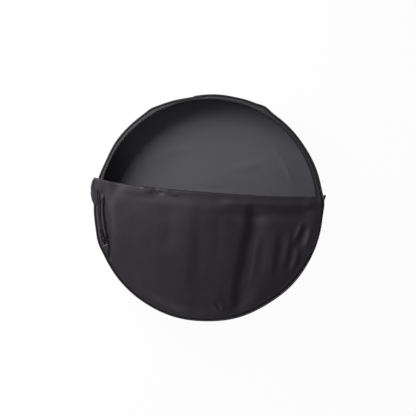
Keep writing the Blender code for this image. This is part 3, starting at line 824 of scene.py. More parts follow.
class Finish(Enum):
    """The bag's finishes."""

    SHELL = ClothFinish(
        "shell_fabric", (0.0134, 0.0101, 0.0150), 0.53, relief=0.00004, ripple=0.0003, sheen=0.02, gloss=0.5,
    )
    LINING = ClothFinish(
        "lining", (0.082, 0.083, 0.090), 0.66, Weave.TWILL, 0.0007, 0.00006, 0.0008, mottle=0.16, sheen=0.05,
    )
    PIPING = ClothFinish(
        "woven_tape", (0.0135, 0.0128, 0.0145), 0.46, Weave.RIBBED, 0.0011, 0.00002, 0.00004, 0.1, 0.0, 0.5,
    )
    TAPE = ClothFinish(
        "woven_tape", (0.0330, 0.0300, 0.0365), 0.66, Weave.RIBBED, 0.0013, 0.00012, 0.0002, 0.1, 0.02, 0.4,
    )
    WEBBING = ClothFinish("woven_tape", (0.019, 0.0185, 0.020), 0.66, Weave.RIBBED, 0.0016, 0.00030, 0.0002)
    TEETH = MouldedFinish("zip_teeth", (0.010, 0.010, 0.011), (0.026, 0.026, 0.028), 0.46)
    ENAMEL = MouldedFinish("black_enamel", (0.020, 0.020, 0.021), (0.30, 0.29, 0.28), 0.30, 0.6, 0.15)
    THREAD = SpunFinish("woven_tape", (0.045, 0.044, 0.048), 2400, 0.00012)
    FOAM = SpunFinish("foam", (0.20, 0.20, 0.21), 700, 0.00040)

    def material(self) -> Material:
        """The finish's material, made once."""
        name = self.name.lower()
        return bpy.data.materials.get(name) or self.value.build(name)


def dress(piece: Piece, finish: Finish, *nodes: str, body: str | None = "bag") -> Piece:
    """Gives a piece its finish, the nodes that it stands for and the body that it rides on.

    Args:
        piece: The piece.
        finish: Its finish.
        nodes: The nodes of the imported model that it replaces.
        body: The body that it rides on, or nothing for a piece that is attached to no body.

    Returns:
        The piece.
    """
    if not piece.data.materials:
        piece.data.materials.append(finish.material())
    if nodes:
        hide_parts(*nodes)
    if body:
        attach(piece, body)
    log.info("%s: %s, %d faces", piece.name, finish.name.lower(), len(piece.data.polygons))
    return piece


# Shapes that repeat along lines


@dataclass
class Lines:
    """Lines along which a shape repeats: their points, and the direction out of the surface at each."""

    points: list[Grid] = field(default_factory=list)
    squares: list[Grid] = field(default_factory=list)

    def add(self, points: Grid, squares: Grid, lift: float = 0.0) -> None:
        """Adds a line.

        Args:
            points: Its points in turn.
            squares: The direction out of the surface at each of them, or one for all.
            lift: How far the line stands off the surface.
        """
        squares = np.broadcast_to(squares, points.shape)
        self.points.append(points + squares * lift)
        self.squares.append(squares)

    def holder(self) -> Piece:
        """An object of plain edges that carries the lines and their square directions."""
        edges, first = [], 0
        for line in self.points:
            edges += [(first + n, first + n + 1) for n in range(len(line) - 1)]
            first += len(line)
        mesh = bpy.data.meshes.new("lines")
        mesh.from_pydata(np.concatenate(self.points).tolist(), edges, [])
        square = mesh.attributes.new("square", "FLOAT_VECTOR", "POINT")
        square.data.foreach_set("vector", np.concatenate(self.squares).astype(np.float32).ravel())
        return placed("lines", mesh)


class RowTree:
    """A Geometry Nodes tree that sets one small shape at even steps along lines, square to the surface."""

    def __init__(self) -> None:
        """Starts the tree with its lines and its inputs for the step, the shape's size and the finish."""
        self.tree = bpy.data.node_groups.new(type(self).__name__, "GeometryNodeTree")
        inputs = {"Lines": "Geometry", "Step": "Float", "Size": "Vector", "Finish": "Material"}
        for name, kind in inputs.items():
            self.tree.interface.new_socket(name, in_out="INPUT", socket_type=f"NodeSocket{kind}")
        self.tree.interface.new_socket("Row", in_out="OUTPUT", socket_type="NodeSocketGeometry")
        self.given = self.tree.nodes.new("NodeGroupInput").outputs

    def node(self, kind: str, settings: Settings = None, inputs: Inputs = None) -> bpy.types.NodeOutputs:
        """Adds a node and gives its outputs."""
        return add_node(self.tree, kind, settings, inputs).outputs

    def shape(self) -> Socket:
        """The shape that repeats: a rounded stitch of unit size."""
        return self.node("GeometryNodeMeshUVSphere", None, {"Segments": 6, "Rings": 4, "Radius": 0.5})["Mesh"]

    def places(self, curve: Socket) -> bpy.types.NodeOutputs:
        """The places of the shape: at even steps along each curve."""
        inputs = {"Curve": curve, "Length": self.given["Step"]}
        return self.node("GeometryNodeCurveToPoints", {"mode": "LENGTH"}, inputs)

    def close(self) -> bpy.types.NodeTree:
        """Places the shape along the lines and ends the tree."""
        places = self.places(self.node("GeometryNodeMeshToCurve", None, {"Mesh": self.given["Lines"]})[0])
        vector = {"data_type": "FLOAT_VECTOR"}
        square = self.node("GeometryNodeInputNamedAttribute", vector, {"Name": "square"})
        upright = self.node("FunctionNodeAlignRotationToVector", {"axis": "Z"}, {"Vector": square[0]})
        turned = self.node("FunctionNodeAlignRotationToVector", {"axis": "X", "pivot_axis": "Z"}, {
            "Rotation": upright[0], "Vector": places["Tangent"],
        })
        copies = self.node("GeometryNodeInstanceOnPoints", None, {
            "Points": places["Points"], "Instance": self.shape(),
            "Rotation": turned[0], "Scale": self.given["Size"],
        })
        real = self.node("GeometryNodeRealizeInstances", None, {0: copies[0]})
        smooth = self.node("GeometryNodeSetShadeSmooth", None, {0: real[0], "Shade Smooth": True})
        dressed = self.node("GeometryNodeSetMaterial", None, {0: smooth[0], "Material": self.given["Finish"]})
        add_node(self.tree, "NodeGroupOutput", None, {0: dressed[0]})
        return self.tree


class ToothTree(RowTree):
    """A row of zip teeth at the points of its lines, each a neck on the tape and a head that locks."""

    def places(self, curve: Socket) -> bpy.types.NodeOutputs:
        """The places of the teeth: the points of each line."""
        return self.node("GeometryNodeCurveToPoints", {"mode": "EVALUATED"}, {"Curve": curve})

    def shape(self) -> Socket:
        """One tooth of unit size, whose neck points back along -Y and whose head ends at +Y."""
        neck = self.node("GeometryNodeMeshCube", None, {"Size": (0.62, 1.0, 0.75)})["Mesh"]
        drum = {"Vertices": 8, "Radius": 0.52, "Depth": 1.0}
        head = self.node("GeometryNodeMeshCylinder", None, drum)["Mesh"]
        moved = self.node("GeometryNodeTransform", None, {0: head, "Translation": (0.0, 0.42, 0.0)})[0]
        both = add_node(self.tree, "GeometryNodeJoinGeometry")
        for part in (neck, moved):
            self.tree.links.new(part, both.inputs[0])
        return both.outputs[0]


@dataclass(frozen=True)
class Row:
    """A shape set along lines by a tree, with a size along, across and square to them."""

    tree: type[RowTree]
    step: float
    size: Triple
    finish: Finish

    def grown(self, name: str, lines: Lines) -> Piece:
        """Makes the row along lines as a plain mesh.

        Args:
            name: The piece's name.
            lines: The lines that it follows.

        Returns:
            The piece, at the origin and with no modifier.
        """
        holder = lines.holder()
        tree = bpy.data.node_groups.get(self.tree.__name__) or self.tree().close()
        modifier = holder.modifiers.new("row", "NODES")
        modifier.node_group = tree
        values = {"Step": self.step, "Size": self.size, "Finish": self.finish.material()}
        for item in tree.interface.items_tree:
            if item.name in values:
                modifier[item.identifier] = values[item.name]
        bpy.context.view_layer.update()
        graph = bpy.context.evaluated_depsgraph_get()
        mesh = bpy.data.meshes.new_from_object(holder.evaluated_get(graph), depsgraph=graph)
        mesh.name = name
        bpy.data.objects.remove(holder, do_unlink=True)
        return placed(name, mesh)


STITCH = Row(RowTree, 0.0042, (0.0033, 0.0008, 0.0007), Finish.THREAD)
TOOTH = Row(ToothTree, 0.0035, (0.00175, 0.0024, 0.0026), Finish.TEETH)


# The pieces of the bag


BINDING = rounded_strip(0.0098, 0.0019, 3, 0.0002)
ACROSS = np.linspace(0, 1, 9)[:, None]


def disc_grid(count: int, reach: float) -> tuple[Array, Array]:
    """Even places over a round cloth, with no pole.

    Args:
        count: The places along each side of the grid.
        reach: The cloth's radius.

    Returns:
        x and y of each place, rows from the top down.
    """
    side = np.linspace(-1, 1, count)
    across, up = np.meshgrid(side, side[::-1])
    return reach * across * np.sqrt(1 - up * up / 2), reach * up * np.sqrt(1 - across * across / 2)


def corded(name: str, front: bool) -> Piece:
    """The cord of the seam round the front of the bag, which follows the rim's offset, or round its back.

    Args:
        name: The piece's name.
        front: Whether it is the front's.

    Returns:
        The cord.
    """
    reach, angles, turns = FORM.piping, ring(420)[:, None], ring(14)
    middle = FORM.radius - reach + front * FORM.rim_offset(angles)
    level = FORM.depth - reach if front else reach
    sections = around(middle + reach * np.cos(turns), angles, level + reach * np.sin(turns))
    return loft(name, sections, loop=True)


@dataclass
class Back:
    """The back of the bag: outer cloth, foam and lining, with the corded seam round them.

    Attributes:
        seam: The ridge over the seam, across the radius.
        foam: The thickness of the foam.
        foam_level: The level of the foam's underside.
        foam_inset: How far the foam's edge lies inside the cloth's.
        quilt: The length of the foam's soft waves, and their height as a share of its thickness.
        lining_level: The level of the lining's underside.
        held_down: The radii between which the lining comes down to its sewn edge.
        slack: The mean height of the loose lining.
        binding_radius: The radius of the tape over the seam.
        binding_level: The level of the tape's middle.
        loose: The waves of the lining.
        creases: The lining's longer folds.
    """

    seam: Ridge = Ridge(0.0003, 0.345, 0.008)
    foam: float = 0.005
    foam_level: float = 0.0015
    foam_inset: float = 0.002
    quilt: Span = (0.02, 0.03)
    lining_level: float = 0.0068
    held_down: Span = (0.300, 0.352)
    slack: float = 0.0018
    binding_radius: float = 0.3619
    binding_level: float = 0.0129
    loose: Rumple = Rumple(0.150, 0.0011, 6, 11)
    creases: tuple[Crease, ...] = (
        Crease(((-250, 120), (-120, 190), (20, 210)), 16, 1.6),
        Crease(((40, 120), (180, 150), (270, 90)), 14, 1.4),
        Crease(((-150, 260), (0, 290), (140, 265)), 12, 1.5),
        Crease(((-60, 70), (90, 60)), 10, -1.0),
        Crease(((200, 220), (245, 160), (290, 60)), 9, 1.3),
        Crease(((-290, 60), (-240, 170)), 10, 1.2),
    )

    def panel(self) -> Piece:
        """The outer cloth, flat on what the bag lies on."""
        x, y = disc_grid(90, FORM.inner_edge)
        outer = points_at(x, y, self.seam.lift(np.hypot(x, y)))
        return thick_sheet("back_cloth", outer, outer + UP * (FORM.shell - 0.0002), planar=True)

    def padding(self) -> Piece:
        """The foam between the two cloths."""
        x, y = disc_grid(64, FORM.inner_edge - self.foam_inset)
        length, share = self.quilt
        thick = self.foam * (1 - share + share * np.cos(x / length) * np.cos(y / length))
        low, high = (points_at(x, y, self.foam_level + rise) for rise in (0.0, thick))
        return thick_sheet("back_foam", low, high, planar=True)

    def lining(self) -> Piece:
        """The lining that shows inside, loose over the foam and held down at its edge."""
        x, y = disc_grid(200, FORM.inner_edge)
        inside = 1 - eased(np.hypot(x, y), *self.held_down)
        lift = self.slack + self.loose.lift(x, y) + sum(crease.lift(x, y) for crease in self.creases)
        level = self.lining_level + FORM.lining + np.maximum(lift, 0.0) * inside
        return cloth("back_lining_cloth", points_at(x, y, level), FORM.lining, planar=True)

    def binding(self) -> Piece:
        """The tape that covers the back seam inside."""
        sections = band_sections(BINDING, self.binding_radius, ring(240), self.binding_level)
        return loft("back_binding", sections, loop=True)

    def build(self) -> None:
        """Makes and dresses the pieces."""
        cloth_panel = dress(self.panel(), Finish.SHELL, "back_panel")
        foam = dress(self.padding(), Finish.FOAM, "back_padding")
        lining = dress(self.lining(), Finish.LINING, "back_lining")
        dress(corded("back_cord", False), Finish.PIPING, "back_piping")
        dress(self.binding(), Finish.PIPING, "back_seam_binding")


@dataclass
class SideBand:
    """The side band in its two lengths, its lining and the seam round the front.

    Attributes:
        outside: The radius of its outer face at its edges.
        bottom: The level of its lower edge.
        top: The level of its upper edge.
        crown: How far its middle stands out.
        slack: The depth of the furrows where the loose band buckles.
        furrow_count: How many furrows there are.
        furrow_length: Half the length of a furrow, as a share of the band's height.
        buckled: The shares of that height over which they deepen, and over which they fade again.
        lining_radius: The radius of the lining.
        lining_ends: The levels of its upper and lower edge.
        binding_radius: The radius of the tape over the front seam.
        binding_level: The level of the tape's middle.
        hem: How far the stitches lie inside the band's edges.
        join: How far, in radians, they lie to either side of a join.
        stitch_lift: How far they stand off the band.
    """

    outside: float = 0.3655
    bottom: float = 0.0063
    top: float = 0.0937
    crown: float = 0.0011
    slack: float = 0.0042
    furrow_count: int = 26
    furrow_length: float = 0.34
    buckled: tuple[Span, ...] = ((0.03, 0.30), (0.70, 0.86))
    lining_radius: float = 0.3636
    lining_ends: Span = (0.0932, 0.0078)
    binding_radius: float = 0.3617
    binding_level: float = 0.0884
    hem: float = 0.0035
    join: float = 0.006
    stitch_lift: float = 0.0002

    def furrows(self, angle: Array, level: Array) -> Array:
        """How far the loose band falls in at each place.

        Args:
            angle: The angles.
            level: The levels.

        Returns:
            The depth at each place.
        """
        share = (level - self.bottom) / (self.top - self.bottom)
        chance = np.random.default_rng(5)
        depth = np.zeros(np.broadcast(angle, level).shape)
        for _ in range(self.furrow_count):
            middle, width = chance.uniform(0, 360), chance.uniform(1.5, 5.0)
            lean, height, place = chance.uniform(-9, 9), chance.uniform(0.25, 1.0), chance.uniform(0.3, 0.7)
            away = (np.degrees(angle) - middle - lean * (share - 0.5) + 180) % 360 - 180
            depth = depth + height * hump(away, width) * hump(share - place, self.furrow_length)
        return self.slack * np.minimum(depth, 1.2) * between(share, *self.buckled)

    def radius(self, angle: Array, level: Array) -> Array:
        """The radius of the band's outer face."""
        middle = (self.bottom + self.top) / 2
        bow = self.crown * np.maximum(0, 1 - ((level - middle) / (middle - self.bottom)) ** 2)
        return self.outside + bow - self.furrows(angle, level) + FORM.side_offset(angle, level)

    def faces(self, angles: Array, levels: Array, *drops: float) -> list[Grid]:
        """Faces over angles and levels, each so far inside the band's outer face."""
        across, down = angles[None, :], levels[:, None]
        return [around(self.radius(across, down) - drop, across, down) for drop in drops]

    def length(self, name: str, start: float, end: float, count: int) -> Piece:
        """One length of the band, from one angle to another."""
        angles, levels = np.linspace(start, end, count), np.linspace(self.top, self.bottom, 26)
        return thick_sheet(name, *self.faces(angles, levels, 0.0, FORM.shell))

    def lining(self) -> Piece:
        """The lining inside the band."""
        drop = FORM.shell + FORM.gap
        faces = self.faces(ring(420), np.linspace(*self.lining_ends, 22), drop + FORM.lining, drop)
        return thick_sheet("band_lining", *faces, loop=True)

    def seam_tape(self) -> Piece:
        """The tape over the front seam inside."""
        radius = self.binding_radius + FORM.side_offset(ring(300), 0.088)
        return loft("front_binding", band_sections(BINDING, radius, ring(300), self.binding_level), loop=True)

    def sew(self, lines: Lines, angles: Values, levels: Values) -> None:
        """Adds a line of stitches on the band."""
        angles, levels = np.broadcast_arrays(angles, levels)
        face = around(self.radius(angles, levels), angles, levels)
        lines.add(face, around(1.0, angles, 0.0), self.stitch_lift)

    def seams(self, lines: Lines) -> None:
        """Adds the stitches along the band's edges and at the joins of its two lengths.

        Args:
            lines: The lines of stitches on the bag.
        """
        for level in (self.bottom + self.hem, self.top - self.hem):
            self.sew(lines, np.linspace(0, TURN, 700), level)
        levels = np.linspace(self.bottom + 0.004, self.top - 0.004, 30)
        for end in (TOP - FORM.zip_end, TOP + FORM.zip_end):
            for away in (-self.join, self.join):
                self.sew(lines, end + away, levels)

    def build(self, lines: Lines) -> None:
        """Makes and dresses the pieces, and adds their stitches to the lines.

        Args:
            lines: The lines of stitches on the bag.
        """
        start, end = TOP - FORM.zip_end, TOP + FORM.zip_end
        gap = FORM.gap / self.outside
        upper = dress(self.length("upper_band", start, end - gap, 420), Finish.SHELL, "upper_gusset")
        lower = dress(self.length("lower_band", end, start + TURN - gap, 300), Finish.SHELL, "lower_gusset")
        lining = dress(self.lining(), Finish.LINING, "gusset_lining")
        dress(corded("front_cord", True), Finish.PIPING, "front_piping")
        dress(self.seam_tape(), Finish.PIPING, "front_seam_binding")
        for band, turn in ((upper, 2 * FORM.zip_end), (lower, TURN - 2 * FORM.zip_end)):
            turn * self.outside
        high, low = self.lining_ends
        flat = (TURN * self.lining_radius, high - low)
        self.seams(lines)


def steps(start: float, end: float) -> Array:
    """Angles from one to another, one to about every half degree, in a row."""
    return np.linspace(start, end, max(8, int(abs(end - start) * 110)))[None, :]


@dataclass
class Zip:
    """The zip round the top: the half on the side band, and the other half from each end up to the fold.

    Attributes:
        row_end: How far from the top the teeth end.
        left_fold: The angle at which the left half passes under the fold.
        right_fold: The same on the right.
        thickness: The tape's thickness.
        base: How far a row's tape lies from the closed zip's line.
        width: The width of the front half's tape.
        reach: How far a row's teeth stand from that line at their middle.
        pitch: The angle from one tooth of a row to the next.
        lap: How far the band's tape reaches over the sewn edge.
        band_bead: The bead across the band's tape, from its inner edge.
        front_bead: The bead across the front's tape.
        tab_radius: The radius of the end tabs' inner edge.
    """

    row_end: float = math.radians(107.9)
    left_fold: float = math.radians(167.8)
    right_fold: float = math.radians(3.6)
    thickness: float = 0.0006
    base: float = 0.0022
    width: float = 0.0143
    reach: float = 0.0006
    pitch: float = 0.0100
    lap: float = 0.0006
    band_bead: Ridge = Ridge(0.0006, 0.10, 0.10)
    front_bead: Ridge = Ridge(0.0005, 0.94, 0.05)
    tab_radius: float = 0.3335

    def tape(self, name: str, angles: Array, inner: Values, outer: Values, relief: Array,
             move: Callable[[Grid], Grid] | None = None) -> Piece:
        """A strip of tape that lies flat along an arc.

        Args:
            name: The piece's name.
            angles: The angles along it, in a row.
            inner: The radius of its inner edge.
            outer: The radius of its outer edge.
            relief: How far its face stands over a flat one at even steps across it, in a column.
            move: A move for the finished points.

        Returns:
            The piece.
        """
        share = np.linspace(0, 1, len(relief))[:, None]
        level = FORM.tape_level + self.thickness / 2 + relief
        top = around(inner + (outer - inner) * share, angles, level)
        low = top - UP * self.thickness
        if move:
            top, low = move(top), move(low)
        return thick_sheet(name, top, low)

    def band_tape(self) -> Piece:
        """The tape sewn to the side band, with a beaded inner edge."""
        angles = steps(TOP - FORM.tape_end, TOP + FORM.tape_end)
        wave = 0.0003 * np.sin(61 * angles) * ACROSS * (1 - ACROSS)
        dip = 0.0026 * eased(ACROSS, 0.74, 1.0)
        outer = FORM.inner_edge + self.lap + FORM.rim_offset(angles)
        inner = FORM.zip_radius + self.base
        return self.tape("band_zip_tape", angles, inner, outer, self.band_bead.lift(ACROSS) + wave - dip)

    def front_tape(self, name: str, start: float, end: float) -> Piece:
        """One length of the tape sewn to the front panel."""
        angles = steps(start, end)
        outer = FORM.zip_radius - self.base - FORM.gap - FORM.spread(angles)
        return self.tape(name, angles, outer - self.width, outer, self.front_bead.lift(ACROSS))

    def tab(self, name: str, start: float, end: float) -> Piece:
        """The fabric tab over one end of the zip."""
        angles = steps(start, end)
        outer = FORM.inner_edge + FORM.rim_offset(angles)
        return self.tape(name, angles, self.tab_radius, outer, -0.0002 * np.cos(TURN * ACROSS))

    def teeth(self, start: float, end: float, offset: float) -> Array:
        """The angles of a row's teeth.

        Args:
            start: Where the row starts.
            end: Where it ends.
            offset: How far its teeth lie from whole pitches, so that two rows lock.

        Returns:
            The angles, rising.
        """
        first, last = math.ceil(start / self.pitch - offset), math.floor(end / self.pitch - offset)
        return (np.arange(first, last + 1) + offset) * self.pitch

    def rows(self) -> Lines:
        """The lines of the teeth that ride on the bag, each with its necks on the tape's side."""
        lines, line, level = Lines(), FORM.zip_radius, FORM.tape_level
        low, high = TOP - self.row_end, TOP + self.row_end
        lines.add(around(line + self.reach, self.teeth(low, high, 0.0), level), UP)
        for start, end in ((self.left_fold, high), (low, self.right_fold)):
            angles = self.teeth(start, end, 0.5)[::-1]
            lines.add(around(line - self.reach - FORM.spread(angles), angles, level), UP)
        return lines

    def build(self) -> None:
        """Makes and dresses the pieces."""
        low, high = TOP - FORM.tape_end, TOP + FORM.tape_end
        join = FORM.gap / FORM.zip_radius
        dress(self.band_tape(), Finish.TAPE, "gusset_zip_tape")
        for side, start, end in (("left", self.left_fold, high), ("right", low, self.right_fold)):
            dress(self.front_tape(f"{side}_zip_tape", start, end), Finish.TAPE, f"front_zip_tape_{side}")
        tab_end = FORM.tab_end
        for side, start, end in (("left", high + join, TOP + tab_end), ("right", TOP - tab_end, low - join)):
            dress(self.tab(f"{side}_zip_tab", start, end), Finish.SHELL, f"zip_end_tab_{side}")
        rows = ("gusset_zip_teeth", "front_zip_teeth_left", "front_zip_teeth_right")
        dress(TOOTH.grown("zip_rows", self.rows()), Finish.TEETH, *rows)
        stops = "zip_bottom_stop", "zip_top_stop_outer", "zip_top_stop_inner"
        for node in ("slider_body", "pull_tab", *stops):
            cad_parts[node].data.materials.clear()
            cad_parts[node].data.materials.append(Finish.ENAMEL.material())


@dataclass(frozen=True)
class Drape:
    """The broad shape of the lower front. Each pair is where a share begins and where it is whole.

    Attributes:
        line: The valley at the right of the raised part, as heights and places in mm.
        evened: The steps in height, in mm, over which that line is evened out.
        shown: How far below the fold the valley and the cloth beyond it appear.
        valley: The depth of the valley.
        banks: The half widths of its two sides.
        valley_end: How far down it appears.
        raised: How far the left part stands up.
        raised_bank: How far past the valley it does.
        raised_below: How far below the fold it does.
        raised_fade: How far before the valley it falls off again.
        raised_loss: How much of it is lost there.
        beyond: How far the cloth past the valley stands up.
        beyond_bank: How far past the valley it does.
        beyond_end: Where it ends on the right.
        ramp: The height of the slope from the left up to the raised part.
        ramp_up: Where it rises.
        ramp_down: Where it comes down again.
        ramp_lean: How far it leans to the right on its way up.
        ramp_below: How far below the fold it is whole.
        hem: The ridge under the fold and the furrow under that.
        hem_start: Where they begin.
        hem_end: Where they fade to half on the right.
    """

    line: tuple[Span, ...] = (
        (6, 146), (-60, 145), (-101, 134), (-127, 126), (-178, 119), (-229, 109), (-262, 103), (-335, 97),
    )
    evened: tuple[float, ...] = (-24, -12, 0, 12, 24)
    shown: Span = (0.030, 0.070)
    valley: float = 0.0052
    banks: Span = (0.022, 0.034)
    valley_end: Span = (0.345, 0.30)
    raised: float = 0.0068
    raised_bank: Span = (0.002, -0.036)
    raised_below: Span = (0.012, 0.055)
    raised_fade: Span = (0.05, 0.42)
    raised_loss: float = 0.6
    beyond: float = 0.0020
    beyond_bank: Span = (0.006, 0.070)
    beyond_end: Span = (0.33, 0.16)
    ramp: float = 0.0042
    ramp_up: Span = (-0.34, -0.08)
    ramp_down: Span = (-0.064, -0.014)
    ramp_lean: float = 0.06
    ramp_below: Span = (0.0, 0.130)
    hem: tuple[Ridge, ...] = (Ridge(0.0048, 0.029, 0.0135), Ridge(-0.0040, 0.060, 0.020))
    hem_start: Span = (0.015, 0.085)
    hem_end: Span = (0.31, 0.35)

    def lift(self, x: Array, y: Array, below: Array) -> Array:
        """How far the cloth stands over its even dome.

        Args:
            x: Places to the right, in metres.
            y: Places upwards, in metres.
            below: How far those places lie below the fold.

        Returns:
            The height at each place.
        """
        down, right = -np.array(self.line).T * MM
        line = sum(np.interp(step * MM - y, down, right) for step in self.evened) / len(self.evened)
        past, shown = x + line, eased(below, *self.shown)
        raised = eased(past, *self.raised_bank) * (1 - self.raised_loss * eased(-past, *self.raised_fade))
        valley = hump(past, np.where(past < 0, *self.banks)) * shown * eased(-y, *self.valley_end)
        end, whole = self.beyond_end
        beyond = eased(past, *self.beyond_bank) * np.clip((end - x) / (end - whole), 0, 1) * shown
        place = x - self.ramp_lean * y
        ramp = (eased(place, *self.ramp_up) - eased(place, *self.ramp_down)) * eased(below, *self.ramp_below)
        hem = sum(ridge.lift(below) for ridge in self.hem)
        hem = hem * eased(x, *self.hem_start) * (1 - 0.5 * eased(x, *self.hem_end))
        left = self.raised * raised * eased(below, *self.raised_below) + self.ramp * ramp
        return left - self.valley * valley + self.beyond * beyond + hem


@dataclass
class Front:
    """The lower front panel, filled from inside, with the fold at its upper edge, and its lining.

    Attributes:
        columns: The points along the fold.
        rows: The points from the fold to the sewn edge.
        lining_rows: The same of the lining.
        roll_rows: The points round the fold.
        roll_turn: How far the cloth turns over the fold.
        end_roll: The level down to which it rolls where it lies over the zip, at the ends of the fold.
        end_radii: The radii over which it comes to lie there.
        fold_ends: The lengths at both ends of the fold over which its line runs up to the sewn edge.
        corner_reach: How far the panel's left corner covers the zip and the rim.
        corner_ends: The angles over which that corner begins.
        corner: How far it stands off the rim.
        notch_reach: How far the right end of the fold stands out over the rim.
        notch_ends: The angles over which it does.
        cover: How far the panel stands off the zip that it covers on the right, by the angle from the top.
        over_rim: How much further it stands off the rim over the right end of the fold.
        pocket: The height of the room over that zip's end, where the slider stops.
        pocket_place: The angle and half width of that room, in degrees, and its radius.
        pocket_reach: Its half widths inwards and outwards.
        clearance: The least height over the rim at which the panel clears the folded flap.
        fall: How far the folded flap's edge falls away, and the radii over which it does.
        softness: The height over which the panel eases off it.
        inset: How far past the sewn edge, which is negative, the folds begin and where they are whole.
        filled: How far the filled part stands up inside the groove.
        filled_ends: The angles over which it begins, and over which it ends.
        filled_widths: How far from the groove it begins, and how far it reaches.
        groove: The furrow between the panel's raised edge and its filled part.
        groove_line: Its angles and radii.
        groove_ends: The angles over which it and the raised edge begin, and over which they end.
        edge_lift: The height of that raised edge.
        edge_band: How far past the sewn edge it begins, and where it is whole.
        sewn: The ridge between the lines of stitches and the dip at the sewn edge, past that edge.
        sewn_ends: The angles from the top over which they begin on the left.
        lining_past: How much further out the lining's edge lies past the ends of the zip.
        lining_end: The angle from the top where it has come so far.
        lining_room: The room between the panel and its lining.
        stitch_rows: How far inside the edge the lines of stitches lie.
        corner_row: How far inside the corner's edge its line of stitches lies.
        rolled: The half length and the width of the cloth that rolls over the fold, which are not used.
        drape: The broad shape of the cloth.
        loose: Its waves.
        creases: Its smaller folds.
    """

    columns: int = 240
    rows: int = 118
    lining_rows: int = 80
    roll_rows: int = 12
    roll_turn: float = math.pi * 0.96
    end_roll: float = 0.1016
    end_radii: Span = (0.318, 0.331)
    fold_ends: Span = (0.05, 0.03)
    corner_reach: float = 0.0340
    corner_ends: Span = (172.6, 169.8)
    corner: Rise = Rise(0.0046, (177, 169), (0.296, 0.346))
    notch_reach: float = 0.0125
    notch_ends: Span = (3.4, 5.8)
    cover: Rise = Rise(0.0024, (122, 110), (0.298, 0.340))
    over_rim: Rise = Rise(0.0022, (math.degrees(0.01), math.degrees(0.07)), (0.350, 0.366))
    pocket: float = 0.0044
    pocket_place: Triple = (341.8, 8, 0.3503)
    pocket_reach: Span = (0.022, 0.0078)
    clearance: float = 0.0004
    fall: Triple = (0.006, 0.353, 0.400)
    softness: float = 0.0014
    inset: Span = (-0.006, -0.045)
    filled: float = 0.0052
    filled_ends: tuple[Span, ...] = ((158, 180), (194, 217))
    filled_widths: Span = (0.013, 0.060)
    groove: Ridge = Ridge(-0.0050, 0.0, 0.0050)
    groove_line: tuple[Span, ...] = (
        (174.5, 0.3410), (178.7, 0.3320), (183.1, 0.3262), (187.6, 0.3242), (191.9, 0.3284), (196.3, 0.3330),
        (199.3, 0.3384), (206.3, 0.3530),
    )
    groove_ends: tuple[Span, ...] = ((171.5, 175), (203, 209))
    edge_lift: float = 0.0056
    edge_band: Span = (-0.0062, -0.0010)
    sewn: tuple[Ridge, ...] = (Ridge(0.0005, -0.0050, 0.0024), Ridge(-0.0040, 0.0004, 0.0032))
    sewn_ends: Span = (114, 120)
    lining_past: float = 0.0342
    lining_end: float = math.radians(126.4)
    lining_room: float = 0.0006
    stitch_rows: tuple[float, ...] = (0.0062, 0.0105)
    corner_row: float = 0.0040
    rolled: Span = (0.34, 0.018)
    drape: Drape = Drape()
    loose: tuple[Rumple, ...] = (Rumple(0.190, 0.0009, 6, 3), Rumple(0.070, 0.00030, 8, 8))
    creases: tuple[Crease, ...] = (
        Crease(((164, -70), (156, -120), (146, -180), (130, -250), (120, -300)), 7, 1.0, 0.3),
        Crease(((180, -80), (172, -150), (160, -250)), 12, -1.6),
        Crease(((334, -48), (322, -92), (306, -140)), 7, 3.4),
        Crease(((304, -36), (288, -78), (268, -118)), 8, 3.4, 0.4),
        Crease(((318, -44), (304, -88), (286, -130)), 7, -2.4, 0.4),
        Crease(((262, -60), (256, -120), (244, -190)), 10, 2.0, 0.4),
        Crease(((288, -118), (282, -168), (266, -222)), 10, 3.4),
        Crease(((268, -110), (262, -160), (248, -210)), 10, -2.4),
        Crease(((316, -140), (306, -180), (288, -216)), 7, 2.6, 0.4),
        Crease(((216, -60), (208, -140), (196, -240)), 14, 2.2),
        Crease(((236, -60), (228, -140), (214, -230)), 13, -2.2),
        Crease(((250, -220), (222, -270), (180, -305)), 12, 2.4, 0.4),
        Crease(((-80, -268), (-10, -292), (62, -298)), 24, 2.6, 0.3),
        Crease(((12, -300), (34, -322), (48, -345)), 6, 2.2, 0.4),
        Crease(((20, -296), (34, -318), (42, -344)), 4, -3.0, 0.3),
        Crease(((46, -304), (40, -330)), 4, 2.2, 0.4),
        Crease(((30, -280), (58, -300), (80, -330)), 7, -1.6, 0.4),
        Crease(((-124, 30), (-128, -60), (-122, -150)), 22, -1.6),
        Crease(((30, -20), (32, -100), (28, -180)), 14, -1.2),
        Crease(((-218, 74), (-200, 58), (-176, 50)), 5, 2.4, 0.3),
        Crease(((-186, 74), (-160, 52), (-138, 46)), 6, -2.6, 0.3),
        Crease(((-146, 66), (-116, 46), (-90, 40)), 5, 2.0, 0.3),
        Crease(((-330, 36), (-318, 22)), 6, -2.6, 0.4),
        Crease(((-300, 66), (-230, 54), (-160, 46)), 12, 1.6, 0.3),
        Crease(((-260, -60), (-200, -150), (-120, -230)), 24, 1.6),
        Crease(((-310, -90), (-270, -170), (-210, -240)), 18, -1.4),
    )

    def rim(self, angle: Array) -> Array:
        """The radius of the panel's edge, beside the open zip on the left and over it on the right."""
        over = FORM.inner_edge + FORM.rim_offset(angle)
        return np.where(FORM.left(angle), FORM.panel_edge(angle), over)

    def edge(self, angle: Array) -> Array:
        """The radius of the panel's outline, whose corners stand out over the rim at the fold's ends.

        Args:
            angle: The angles.

        Returns:
            The radius at each angle.
        """
        degrees = np.degrees(angle) % 360
        left = eased(degrees, *self.corner_ends) * FORM.left(angle)
        right = eased(degrees, *self.notch_ends) * (degrees < 90)
        return self.rim(angle) + self.corner_reach * left + self.notch_reach * right

